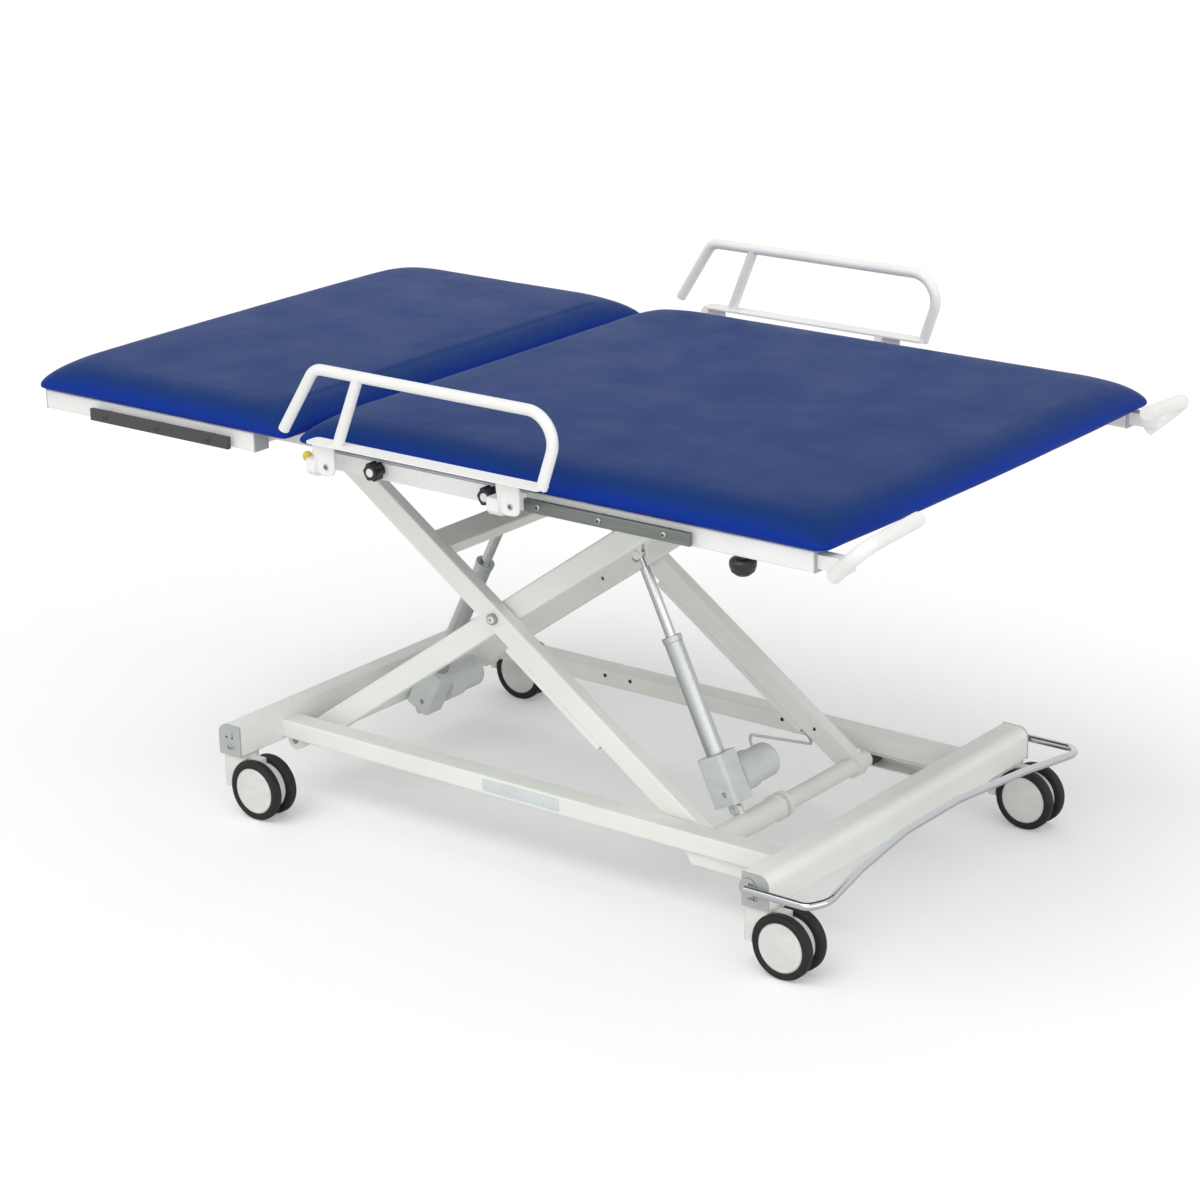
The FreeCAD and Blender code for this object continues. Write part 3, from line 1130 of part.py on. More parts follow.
def guard():
    """Bent tube with an inner leg on a flat shelf, two plates down its front and a hinge leaf behind each."""
    y = -size("guard_y")
    radius = size("guard_radius")
    plate = size("guard_plate")
    shelf_low = deck + size("guard_shelf_up") - plate
    top = deck + size("guard_top")
    hinge_z = deck + size("guard_hinge_up")
    hinge_y = -size("guard_hinge_y")
    turn = size("leaf_radius")
    front = hinge_y - turn - size("side_gap") - plate / 2
    bends = [size("guard_bend_head"), size("guard_bend_foot")]
    tube = bent_tube([V(size("guard_tube_head_x"), y, deck + size("guard_tube_head_up")),
                      V(size("guard_bend_head_x"), y, top), V(size("guard_bend_foot_x"), y, top),
                      V(size("guard_tube_foot_x"), y, shelf_low)], bends, radius)
    leg_foot = V(size("guard_leg_low_x"), y, shelf_low)
    leg_run = V(size("guard_leg_top_x"), y, top) - leg_foot
    leg = Part.makeCylinder(radius, leg_run.Length, leg_foot, leg_run)
    half = size("guard_shelf_wide") / 2
    shelf = Part.makeBox(size("shelf_foot_x") - size("leaf_head_x"), 2 * half, plate,
                         V(size("leaf_head_x"), y - half, shelf_low))
    shelf = shelf.makeFillet(half / 2, [edge for edge in shelf.Edges if straight_along(AXES["Z"])(edge)])
    below = Part.makeBox(size("shelf_foot_x") - size("leaf_head_x"), 2 * half, 2 * radius,
                         V(size("leaf_head_x"), y - half, shelf_low - 2 * radius))
    shape = tube.fuse([leg, shelf]).cut(below)
    for x in (size("leaf_head_x"), size("leaf_foot_x")):
        outline = [V(x, hinge_y + turn - 3, hinge_z), V(x, y + half, shelf_low), V(x, front - plate, shelf_low),
                   V(x, front - plate, shelf_low - turn), V(x, hinge_y - turn + 1, hinge_z)]
        leaf = Part.Face(Part.makePolygon(outline + outline[:1])).extrude(V(size("guard_leaf"), 0, 0))
        eye = Part.makeCylinder(turn - 1, size("guard_leaf"), V(x, hinge_y, hinge_z), V(1, 0, 0))
        bore = Part.makeCylinder(size("guard_pin_radius") + size("running_gap"), size("guard_leaf"),
                                 V(x, hinge_y, hinge_z), V(1, 0, 0))
        plate_low = deck + size("guard_plate_low")
        apron = Part.makeBox(size("guard_plate_wide"), plate, shelf_low + plate - plate_low,
                             V(x + size("guard_plate_shift"), front - plate, plate_low))
        low_corners = [edge for edge in apron.Edges
                       if straight_along(AXES["Y"])(edge) and abs(edge.CenterOfMass.z - plate_low) < 0.1]
        apron = apron.makeFillet(size("guard_plate_wide") / 3, low_corners)
        shape = shape.fuse([leaf, eye, apron]).cut(bore)
    return shaped("near_guard", shape.removeSplitter())


near_guard = guard()
node("side_rail_near", [near_guard])
node("side_rail_far", [mirror(near_guard)])


# knobs

def star_knob(name, x):
    """Clamping knob with six lobes, a collar and a stud through the strip."""
    body = new_body(name)
    base = "frame_half_width + strip + side_gap"
    face = "-(%s + 7)" % base
    z = DECK + " + star_up"
    pad(body, circle(sketch(body, "Y", "-(frame_half_width + side_gap)"), x, z, "stud_radius"), "strip + 4")
    pad(body, circle(sketch(body, "Y", "-(%s)" % base), x, z, "star_radius - 7"), "7.5")
    pad(body, circle(sketch(body, "Y", face), x, z, "star_radius - 4"), "star_deep")
    for lobe in range(6):
        turn = 60 * lobe
        pad(body, circle(sketch(body, "Y", face), "%s + (star_radius - 6) * cos(%d)" % (x, turn),
                         "%s + (star_radius - 6) * sin(%d)" % (z, turn), "6"), "star_deep - 3")
    return body


def hand_knob():
    """Half-round knob under the frame rail, with a neck and a stud up to the handle's bar."""
    body = new_body("hand_knob")
    top = "-6"
    low = "-(hand_knob_high + 6)"
    stud_top = "frame_wall + (frame_tube - 2 * frame_wall - plug) / 2 - side_gap"
    outline = polygon(sketch(body, "Y"), [
        ("0", low), ("hand_knob_radius * 0.5", low + " + 2"), ("hand_knob_radius * 0.85", low + " + 9"),
        ("hand_knob_radius", low + " + 20"), ("hand_knob_radius", top + " - 6"),
        ("hand_knob_radius - 3", top + " - 2"), ("10", top), ("9", "-0.3"), ("stud_radius", "-0.3"),
        ("stud_radius", stud_top), ("0", stud_top)])
    revolve(body, outline)
    return place(body, "hand_knob_x", "-(frame_half_width - hand_knob_inset)", DECK)


def plunger():
    """Round pull knob on a stem that locks the side rail, turned about its own Z and laid along X."""
    body = new_body("plunger")
    length = "mount_head_x + plunger_in_lug - plunger_x"
    revolve(body, polygon(sketch(body, "Y"), [
        ("0", "-plunger_radius * 0.9"), ("plunger_radius * 0.6", "-plunger_radius * 0.8"),
        ("plunger_radius * 0.92", "-plunger_radius * 0.4"), ("plunger_radius", "0"),
        ("plunger_radius * 0.92", "plunger_radius * 0.4"), ("plunger_radius * 0.6", "plunger_radius * 0.8"),
        ("plunger_stem", "plunger_radius * 0.9"), ("plunger_stem", length), ("0", length)]))
    body.Placement = FreeCAD.Placement(V(), FreeCAD.Rotation(V(0, 1, 0), 90))
    return place(body, "plunger_x", "-plunger_y", DECK + " + plunger_up")


for end in ("head", "foot"):
    knob = star_knob("star_knob_body_" + end, "star_%s_x" % end)
    node("star_knob_near_" + end, [knob])
    node("star_knob_far_" + end, [mirror(knob)])
for label, part in (("hand_knob", hand_knob()), ("release_knob", plunger())):
    node(label + "_near", [part])
    node(label + "_far", [mirror(part)])


# push handles at the foot end

def push_handle():
    """Square bar in the frame rail carrying a bent grip tube."""
    plug = size("plug")
    y = -(frame_y - size("frame_tube") / 2)
    z = deck + size("frame_tube") / 2
    start = size("main_foot_x") - size("plug_inside")
    bar = Part.makeBox(size("plug_foot_x") - start, plug, plug, V(start, y - plug / 2, z - plug / 2))
    foot = V(size("handle_foot_x"), y - 8, deck - 3)
    apex = V(size("handle_apex_x"), y - size("handle_apex_inset"), deck + size("handle_apex_up"))
    grip = V(size("handle_apex_x"), -size("handle_grip_y"), deck + size("handle_grip_up"))
    tube = bent_tube([foot, apex, grip], [size("handle_apex_inset")], size("handle_radius"))
    return shaped("near_handle", bar.fuse(tube).removeSplitter())


near_handle = push_handle()
node("push_handle_near", [near_handle])
node("push_handle_far", [mirror(near_handle)])


# every object has to be sound before a file is written

doc.recompute()
for thing in doc.Objects:
    if "Invalid" in thing.State or "Error" in thing.State:
        raise ValueError("failed object: " + thing.Name)
for part in nodes:
    if part.Shape.isNull() or not part.Shape.isValid() or not part.Shape.Solids:
        raise ValueError("bad shape: " + part.Label)
os.makedirs("parts", exist_ok=True)
for part in nodes:
    part.Shape.exportStep("parts/" + part.Label + ".step")
print(len(nodes), "sub-parts,", sum(len(part.Shape.Solids) for part in nodes), "solids")
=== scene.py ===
"""Height adjustable therapy table: materials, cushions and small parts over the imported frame."""

import json
import math

import bmesh
import bpy
from mathutils import Matrix, Vector

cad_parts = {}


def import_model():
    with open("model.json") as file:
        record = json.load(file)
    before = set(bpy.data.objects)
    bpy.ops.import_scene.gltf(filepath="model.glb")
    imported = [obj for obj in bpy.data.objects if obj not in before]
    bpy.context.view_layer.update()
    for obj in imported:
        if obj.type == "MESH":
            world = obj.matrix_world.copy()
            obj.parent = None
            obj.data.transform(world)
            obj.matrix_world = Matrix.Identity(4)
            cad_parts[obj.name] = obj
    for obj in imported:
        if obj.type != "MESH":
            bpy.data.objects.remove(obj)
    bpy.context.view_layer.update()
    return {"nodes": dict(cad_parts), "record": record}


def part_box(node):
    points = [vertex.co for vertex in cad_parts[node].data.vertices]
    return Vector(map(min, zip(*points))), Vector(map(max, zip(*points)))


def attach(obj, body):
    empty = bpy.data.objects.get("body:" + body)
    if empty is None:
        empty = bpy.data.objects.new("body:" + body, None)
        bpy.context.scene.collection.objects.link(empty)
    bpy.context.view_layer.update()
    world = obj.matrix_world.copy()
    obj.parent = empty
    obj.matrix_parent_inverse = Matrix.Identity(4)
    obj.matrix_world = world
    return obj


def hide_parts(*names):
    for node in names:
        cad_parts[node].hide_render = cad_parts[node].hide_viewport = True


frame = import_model()
nodes = frame["nodes"]
scene = bpy.context.scene


# colours are written as they look, 0 to 255

def linear(colour):
    values = [c / 255 for c in colour]
    return tuple(v / 12.92 if v <= 0.04045 else ((v + 0.055) / 1.055) ** 2.4 for v in values) + (1.0,)


class Tree:
    """Short calls for building one material's nodes."""

    def __init__(self, name):
        self.material = bpy.data.materials.new(name)
        self.material.use_nodes = True
        self.nodes = self.material.node_tree.nodes
        self.links = self.material.node_tree.links
        self.shader = self.nodes["Principled BSDF"]
        place = self.nodes.new("ShaderNodeTexCoord")
        self.coordinates = place.outputs["Object"]
        self.facing = place.outputs["Normal"]

    def join(self, source, target):
        self.links.new(source, target)

    def noise(self, scale, detail=4.0, roughness=0.55, stretch=(1, 1, 1)):
        node = self.nodes.new("ShaderNodeTexNoise")
        node.inputs["Scale"].default_value = scale
        node.inputs["Detail"].default_value = detail
        node.inputs["Roughness"].default_value = roughness
        self.join(self.stretched(stretch), node.inputs["Vector"])
        return node.outputs["Fac"]

    def cells(self, scale, feature="F1"):
        node = self.nodes.new("ShaderNodeTexVoronoi")
        node.feature = feature
        node.inputs["Scale"].default_value = scale
        self.join(self.coordinates, node.inputs["Vector"])
        return node.outputs["Distance"]

    def stretched(self, stretch):
        node = self.nodes.new("ShaderNodeMapping")
        node.inputs["Scale"].default_value = stretch
        self.join(self.coordinates, node.inputs["Vector"])
        return node.outputs["Vector"]

    def remap(self, value, low, high, to_low, to_high):
        node = self.nodes.new("ShaderNodeMapRange")
        for name, number in (("From Min", low), ("From Max", high), ("To Min", to_low), ("To Max", to_high)):
            node.inputs[name].default_value = number
        self.join(value, node.inputs["Value"])
        return node.outputs["Result"]

    def blend(self, factor, first, second):
        node = self.nodes.new("ShaderNodeMix")
        node.data_type = "RGBA"
        self.join(factor, node.inputs["Factor"])
        for number, colour in ((6, first), (7, second)):
            if isinstance(colour, tuple):
                node.inputs[number].default_value = colour
            else:
                self.join(colour, node.inputs[number])
        return node.outputs[2]

    def bump(self, height, strength, distance, normal=None):
        node = self.nodes.new("ShaderNodeBump")
        node.inputs["Strength"].default_value = strength
        node.inputs["Distance"].default_value = distance
        self.join(height, node.inputs["Height"])
        if normal is not None:
            self.join(normal, node.inputs["Normal"])
        return node.outputs["Normal"]

    def soft_edges(self, radius):
        node = self.nodes.new("ShaderNodeBevel")
        node.samples = 4
        node.inputs["Radius"].default_value = radius
        return node.outputs["Normal"]

    def upward(self, low, high):
        """0 on faces that look sideways, 1 on those that look up."""
        split = self.nodes.new("ShaderNodeSeparateXYZ")
        self.join(self.facing, split.inputs["Vector"])
        return self.remap(split.outputs["Z"], low, high, 0.0, 1.0)

    def set(self, **values):
        for name, value in values.items():
            self.shader.inputs[name.replace("_", " ")].default_value = value


def paint(name, colour, worn):
    """Powder coat: fine orange peel, faint cloudiness, a little dirt in fine random specks."""
    tree = Tree(name)
    cloud = tree.remap(tree.noise(5.0, 3.0), 0.35, 0.7, 0.0, 1.0)
    speck = tree.remap(tree.noise(260.0, 2.0), 0.62, 0.72, 0.0, 0.5)
    body = tree.blend(cloud, linear(colour), linear(worn))
    dirt = linear(tuple(c * 0.93 for c in worn))
    tree.join(tree.blend(speck, body, dirt), tree.shader.inputs["Base Color"])
    tree.join(tree.remap(tree.noise(40.0, 3.0), 0.3, 0.7, 0.34, 0.46), tree.shader.inputs["Roughness"])
    peel = tree.bump(tree.noise(900.0, 2.0), 0.12, 0.0004, tree.soft_edges(0.0014))
    tree.join(peel, tree.shader.inputs["Normal"])
    tree.set(Specular_IOR_Level=0.4)
    return tree.material


def plastic(name, colour, rough=0.5, grain=0.16):
    """Moulded plastic: spark-eroded grain and slight flow marks."""
    tree = Tree(name)
    flow = tree.remap(tree.noise(18.0, 4.0, 0.6, (1, 1, 2.5)), 0.3, 0.7, 0.0, 1.0)
    tree.join(tree.blend(flow, linear(colour), linear(tuple(c * 0.94 for c in colour))),
              tree.shader.inputs["Base Color"])
    tree.join(tree.remap(tree.noise(120.0, 3.0), 0.3, 0.7, rough - 0.06, rough + 0.08),
              tree.shader.inputs["Roughness"])
    grained = tree.bump(tree.cells(1500.0), grain, 0.0003, tree.soft_edges(0.0008))
    tree.join(grained, tree.shader.inputs["Normal"])
    return tree.material


def metal(name, colour, rough, lines=(1, 1, 1), depth=0.1, mottle=0.88):
    """Bare metal: drawing or turning lines along one direction, darker by mottle between them."""
    tree = Tree(name)
    streak = tree.noise(160.0, 5.0, 0.6, lines)
    tree.join(tree.blend(tree.remap(streak, 0.3, 0.7, 0.0, 1.0), linear(colour),
                         linear(tuple(c * mottle for c in colour))), tree.shader.inputs["Base Color"])
    tree.join(tree.remap(streak, 0.3, 0.7, max(rough - 0.05, 0.03), rough + 0.07),
              tree.shader.inputs["Roughness"])
    tree.join(tree.bump(streak, depth, 0.0002, tree.soft_edges(0.0006)), tree.shader.inputs["Normal"])
    tree.set(Metallic=1.0)
    return tree.material


def rubber(name, colour):
    tree = Tree(name)
    dust = tree.remap(tree.noise(70.0, 5.0), 0.45, 0.75, 0.0, 1.0)
    tree.join(tree.blend(dust, linear(colour), linear(tuple(c * 1.35 for c in colour))),
              tree.shader.inputs["Base Color"])
    tree.join(tree.bump(tree.noise(1100.0, 3.0), 0.3, 0.0004, tree.soft_edges(0.0012)),
              tree.shader.inputs["Normal"])
    tree.set(Roughness=0.62, Specular_IOR_Level=0.35)
    return tree.material


def vinyl(name, colour, deep, side):
    """Upholstery vinyl: pebbled leather grain in two sizes, with painted light: a duller blue on top and a
    brighter blue on the sides, as light and reflection fall, and painted shade in the grain's creases.
    """
    tree = Tree(name)
    wide = tree.remap(tree.noise(3.2, 3.0), 0.3, 0.7, 0.0, 1.0)
    pores = tree.cells(620.0, "DISTANCE_TO_EDGE")
    top = tree.blend(wide, linear(colour), linear(deep))
    # painted light: the brighter side colour on faces that look sideways, the duller top colour on faces that
    # look up
    shade = tree.blend(tree.upward(0.45, 0.92), linear(side), top)
    # painted shade: the creases between the grain's pebbles are darkened
    dark = tuple(c * 0.6 for c in deep)
    tree.join(tree.blend(tree.remap(pores, 0.0, 0.12, 0.35, 0.0), shade, linear(dark)),
              tree.shader.inputs["Base Color"])
    tree.join(tree.remap(tree.noise(9.0, 4.0), 0.3, 0.7, 0.40, 0.50), tree.shader.inputs["Roughness"])
    pebbles = tree.bump(tree.remap(pores, 0.0, 0.25, 0.0, 1.0), 0.22, 0.0004)
    drape = tree.bump(tree.noise(14.0, 2.0), 0.10, 0.003, pebbles)
    tree.join(drape, tree.shader.inputs["Normal"])
    tree.set(Specular_IOR_Level=0.06)
    return tree.material


def liner(name, colour):
    """Woven black under-cover of the pads."""
    tree = Tree(name)
    threads = tree.nodes.new("ShaderNodeTexWave")
    threads.inputs["Scale"].default_value = 420.0
    tree.join(tree.coordinates, threads.inputs["Vector"])
    tree.join(tree.blend(threads.outputs["Fac"], linear(colour), linear(tuple(c * 1.6 for c in colour))),
              tree.shader.inputs["Base Color"])
    tree.join(tree.bump(threads.outputs["Fac"], 0.4, 0.0004), tree.shader.inputs["Normal"])
    tree.set(Roughness=0.85)
    return tree.material


FRAME = paint("frame_coat", (238, 238, 236), (230, 230, 226))
BASE = paint("base_coat", (236, 238, 232), (229, 231, 224))
ARMS = paint("arm_coat", (237, 239, 233), (230, 232, 225))
CAPS = plastic("cap_grey", (178, 181, 180), 0.5)
CASTER = plastic("caster_grey", (222, 223, 218), 0.45)
WHEEL = plastic("wheel_grey", (220, 221, 216), 0.42)
TYRE = rubber("tyre_grey", (24, 25, 25))
CHROME = metal("brake_chrome_metal", (196, 198, 201), 0.06, depth=0.01, mottle=0.97)
ZINC = metal("pin_zinc", (176, 178, 178), 0.32)
ROLLER = plastic("roller_dark", (74, 76, 77), 0.5)
MOTOR = plastic("actuator_grey", (208, 212, 210), 0.46)
TUBE = metal("actuator_tube_metal", (184, 187, 187), 0.38, depth=0.03, mottle=0.97)
ROD = metal("ground_rod", (196, 198, 198), 0.16, (1, 1, 6), 0.04)
LEAD = plastic("lead_grey", (196, 197, 190), 0.5)
SPRING = plastic("spring_black", (34, 35, 36), 0.35, 0.04)
BOX = plastic("box_grey", (122, 124, 124), 0.52)
MAIN_RAIL = metal("main_rail_metal_look", (140, 144, 139), 0.4, (0.05, 1, 1), 0.1)
HEAD_RAIL = plastic("head_rail_dark", (62, 64, 62), 0.45, 0.1)
BLACK = plastic("knob_black", (30, 31, 32), 0.36, 0.06)
YELLOW = plastic("release_yellow", (222, 203, 50), 0.3, 0.03)
WHITE = plastic("cap_white", (240, 240, 238), 0.4, 0.05)
# painted shade: a near-black used for the flat discs that stand for the shade inside screw sockets, cap slots
# and rail holes
HOLE_PAINTED_SHADE = plastic("hole_painted_shade", (34, 35, 36), 0.7)
LABEL = plastic("label_pale", (214, 221, 220), 0.3, 0.02)
# cushion colours: top, its random tone, and the brighter blue painted on the sides as light falls
BLUE = vinyl("cushion_vinyl", (16, 52, 113), (15, 51, 110), (13, 50, 146))
LINER = liner("cushion_liner", (26, 28, 34))

BY_SLOT = {
    "base_paint": BASE, "arm_paint": ARMS, "frame_paint": FRAME, "cap_plastic": CAPS, "pin_steel": ZINC,
    "roller_plastic": ROLLER, "brake_chrome": CHROME, "caster_plastic": CASTER, "wheel_plastic": WHEEL,
    "tyre_rubber": TYRE, "actuator_plastic": MOTOR, "actuator_metal": TUBE, "rod_steel": ROD,
    "lead_skin": LEAD, "spring_paint": SPRING, "box_plastic": BOX, "main_rail_metal": MAIN_RAIL,
    "head_rail_metal": HEAD_RAIL, "cushion_skin": BLUE, "knob_plastic": BLACK, "release_plastic": YELLOW,
}
for entry in frame["record"]["subparts"]:
    data = nodes[entry["node"]].data
    data.materials.clear()
    data.materials.append(BY_SLOT[entry["material_slot"]])


# cushions: pads swollen by air pressure inside their covers, flat where they rest on the frame; metres

VOXEL = 0.008
SPREAD = 0.04          # longest step between two points of a pad's plan
ARC_STEPS = 8          # steps in one plan corner
AIR_PRESSURE = 4.0
AIR_FRAMES = 20
AIR_REACH = 0.002      # no point of a pad moves further than this
PINCH_REACH = 0.17     # pads thin out this near to a plan corner
PINCH_SHARE = 0.4
LINER_RIM = 0.05       # the under-cover starts this far in from the edge
LINER_RISE = 0.002


def linked(name, mesh):
    thing = bpy.data.objects.new(name, mesh)
    scene.collection.objects.link(thing)
    return thing


def evaluated_mesh(thing):
    bpy.context.view_layer.update()
    graph = bpy.context.evaluated_depsgraph_get()
    return bpy.data.meshes.new_from_object(thing.evaluated_get(graph), depsgraph=graph)


def outline(low, high, radii, bow):
    """Closed plan outline, from the head end's near corner round; bow is how far each end swells out."""
    points = []
    centre_y = (low.y + high.y) / 2
    for (sx, sy), radius in zip(((-1, -1), (1, -1), (1, 1), (-1, 1)), radii):
        middle_x = (high.x - bow[1] if sx > 0 else low.x + bow[0]) - sx * radius
        middle_y = (high.y if sy > 0 else low.y) - sy * radius
        first = math.atan2(sy, sx) - math.pi / 4
        for step in range(ARC_STEPS + 1):
            turn = first + step * math.pi / 2 / ARC_STEPS
            points.append((middle_x + radius * math.cos(turn), middle_y + radius * math.sin(turn)))
    dense = []
    for (x, y), (next_x, next_y) in zip(points, points[1:] + points[:1]):
        count = max(1, round(math.hypot(next_x - x, next_y - y) / SPREAD))
        dense += [(x + (next_x - x) * i / count, y + (next_y - y) * i / count) for i in range(count)]
    half = (high.y - low.y) / 2
    bowed = []
    for x, y in dense:
        swell = 1 - ((y - centre_y) / half) ** 2
        along = (x - low.x) / (high.x - low.x)
        bowed.append((x + swell * (bow[1] * along - bow[0] * (1 - along)), y))
    return bowed


# sections through a pad: distance in from the edge, then share of the plan, each with its height
EDGE = ((0.014, 0.0), (0.004, 0.002), (0.0, 0.008), (0.0, 0.013), (0.004, 0.022), (0.012, 0.031),
        (0.026, 0.040), (0.044, 0.0465), (0.070, 0.0505))
CROWN = ((0.82, 0.0525), (0.6, 0.0545), (0.35, 0.0558), (0.12, 0.0562))
SECTION_DEPTH = 0.0575


def pad_form(low, high, radii, bow):
    """Crowned closed form of one pad, its edge rolled from a narrow lip up to the top."""
    plan = outline(low, high, radii, bow)
    middle = (low + high) / 2
    half = (high - low) / 2
    depth = (high.z - low.z) / SECTION_DEPTH
    work = bmesh.new()
    rings = []
    sections = [(1 - inset / half.x, 1 - inset / half.y, height) for inset, height in EDGE]
    sections += [(share, share, height) for share, height in CROWN]
    for share_x, share_y, height in sections:
        rings.append([work.verts.new((middle.x + (x - middle.x) * share_x,
                                      middle.y + (y - middle.y) * share_y,
                                      low.z + height * depth)) for x, y in plan])
    count = len(plan)
    for below, above in zip(rings, rings[1:]):
        for i in range(count):
            j = (i + 1) % count
            work.faces.new((below[i], below[j], above[j], above[i]))
    work.faces.new(list(reversed(rings[0])))
    work.faces.new(rings[-1])
    bmesh.ops.recalc_face_normals(work, faces=work.faces)
    mesh = bpy.data.meshes.new("pad_start")
    work.to_mesh(mesh)
    work.free()
    pad = linked("pad_start", mesh)
    modifier = pad.modifiers.new("voxels", "REMESH")
    modifier.mode = "VOXEL"
    modifier.voxel_size = VOXEL
    result = evaluated_mesh(pad)
    bpy.data.objects.remove(pad)
    return result


def inflate(pad):
    """Cloth with pressure and no gravity, with each point's movement limited."""
    start = [vertex.co.copy() for vertex in pad.data.vertices]
    cloth = pad.modifiers.new("air", "CLOTH")
    settings = cloth.settings
    settings.use_pressure = True
    settings.uniform_pressure_force = AIR_PRESSURE
    settings.effector_weights.gravity = 0.0
    settings.quality = 4
    settings.mass = 0.4
    settings.tension_stiffness = 22.0
    settings.compression_stiffness = 22.0
    settings.bending_stiffness = 4.0
    cloth.point_cache.frame_start = 1
    cloth.point_cache.frame_end = AIR_FRAMES
    for number in range(1, AIR_FRAMES + 1):
        scene.frame_set(number)
    swollen = evaluated_mesh(pad)
    pad.modifiers.clear()
    for vertex, moved, before in zip(pad.data.vertices, swollen.vertices, start):
        shift = moved.co - before
        if shift.length > AIR_REACH:
            shift *= AIR_REACH / shift.length
        vertex.co = before + shift
    scene.frame_set(1)


def cushion(name, node, body, radii, bow, dip):
    """Pad over a node: plan radii, bows of its ends and one shallow dip as x, y, reach and depth."""
    low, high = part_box(node)
    mesh = pad_form(low, high, radii, bow)
    pad = linked(name, mesh)
    inflate(pad)
    middle = (low + high) / 2
    half = (high - low) / 2
    dip_x, dip_y, reach, depth = dip
    for vertex in mesh.vertices:
        top = max(0.0, (vertex.co.z - middle.z) / half.z)
        distance = math.hypot(vertex.co.x - dip_x, vertex.co.y - dip_y) / reach
        if distance < 1:
            vertex.co.z -= depth * top * (1 - distance * distance) ** 2
        corner = min(math.hypot(vertex.co.x - x, vertex.co.y - y)
                     for x in (low.x, high.x) for y in (low.y, high.y))
        if corner < PINCH_REACH:
            vertex.co.z -= PINCH_SHARE * (vertex.co.z - low.z) * (1 - corner / PINCH_REACH) ** 2
        vertex.co = [min(max(value, least), most) for value, least, most in zip(vertex.co, low, high)]
    mesh.materials.clear()
    mesh.materials.append(BLUE)
    mesh.materials.append(LINER)
    for face in mesh.polygons:
        face.use_smooth = True
        rim = min(half.x - abs(face.center.x - middle.x), half.y - abs(face.center.y - middle.y))
        face.material_index = 1 if face.center.z < low.z + LINER_RISE and rim > LINER_RIM else 0
    smooth = pad.modifiers.new("finer", "SUBSURF")
    smooth.levels = 1
    smooth.render_levels = 1
    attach(pad, body)
    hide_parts(node)


cushion("main_cushion_cover", "main_cushion", "top_frame", (0.018, 0.030, 0.030, 0.018), (0.0, 0.012),
        (0.15, -0.1, 0.5, 0.0015))
cushion("head_cushion_cover", "head_cushion", "head_section", (0.030, 0.018, 0.018, 0.030), (0.010, 0.0),
        (-0.75, 0.05, 0.3, 0.0015))


# small parts

def lathe(name, profile, material, place, toward, body, steps=24):
    """Turned part: profile of (radius, height) about an axis through place."""
    work = bmesh.new()
    rings = []
    for radius, height in profile:
        if radius < 1e-6:
            rings.append([work.verts.new((0, 0, height))])
            continue
        rings.append([work.verts.new((radius * math.cos(2 * math.pi * i / steps),
                                      radius * math.sin(2 * math.pi * i / steps), height))
                      for i in range(steps)])
    for below, above in zip(rings, rings[1:]):
        for i in range(steps):
            j = (i + 1) % steps
            corners = [ring[k % len(ring)] for ring, k in ((below, i), (below, j), (above, j), (above, i))]
            unique = list(dict.fromkeys(corners))
            if len(unique) > 2:
                work.faces.new(unique)
    bmesh.ops.recalc_face_normals(work, faces=work.faces)
    mesh = bpy.data.meshes.new(name)
    work.to_mesh(mesh)
    work.free()
    turn = Vector((0, 0, 1)).rotation_difference(Vector(toward)).to_matrix().to_4x4()
    mesh.transform(Matrix.Translation(Vector(place)) @ turn)
    mesh.materials.append(material)
    for face in mesh.polygons:
        face.use_smooth = True
    mesh.set_sharp_from_angle(angle=math.radians(35))
    piece = linked(name, mesh)
    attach(piece, body)


def socket_screw(name, place, toward, radius, body, material=ZINC, rise=0.55):
    """Button-head screw with a hexagon socket; rise is its head's height over its radius."""
    head = radius * rise
    profile = [(radius, 0), (radius, head * 0.25), (radius * 0.88, head * 0.7), (radius * 0.6, head),
               (radius * 0.42, head), (radius * 0.4, head * 0.35), (0, head * 0.3)]
    lathe(name, profile, material, place, toward, body, 18)
    # the socket is a dark hexagonal disc of painted shade
    recess = [(radius * 0.36, 0), (radius * 0.36, 0.0002), (0, 0.0002)]
    step = Vector(toward) * (head * 0.36)
    lathe(name + "_socket", recess, HOLE_PAINTED_SHADE, Vector(place) + step, toward, body, 6)


# places on the near side, in metres; the far side mirrors them
SIDES = (("near", -1), ("far", 1))
ENDS = (("head", -1), ("foot", 1))
STAR_KNOBS = (("head", -0.124), ("foot", 0.158))
STAR_KNOB_UP = 0.880
KNOB_CAP = ((0.0085, -0.001), (0.0085, 0.0012), (0.0072, 0.0026), (0.004, 0.0034), (0, 0.0036))
RAIL_FACE = 0.596
MAIN_RAIL_START, MAIN_RAIL_LONG, MAIN_RAIL_UP = 0.240, 0.377, 0.876
MAIN_RAIL_SCREWS = (0.085, 0.46, 0.85)
HEAD_RAIL_START, HEAD_RAIL_LONG, HEAD_RAIL_UP = -0.899, 0.386, 0.871
HEAD_RAIL_SCREWS = (0.11, 0.49, 0.86)
BEAM_CAP_X, BEAM_CAP_FACE = 0.674, 0.475
CAP_BOLT_UP, CAP_SLOT_UP = 0.151, 0.172
CAP_SLOT = ((0.0022, 0), (0.0022, 0.0006), (0, 0.0006))
GUARD_BOLTS = (("head", -0.205), ("foot", 0.248))
GUARD_BOLT_FACE, GUARD_BOLT_UP = 0.6453, 0.886
GUARD_BOLT_RISE = 0.25
FAR_RAIL_HOLES = (-0.267, -0.198, 0.207)
FAR_RAIL_FACE, FAR_RAIL_UP = 0.296, 0.165
FAR_RAIL_HOLE = ((0.0045, 0), (0.0045, 0.0003), (0, 0.0003))
MID_PIVOT = (-0.09424, -0.2993, 0.50009)

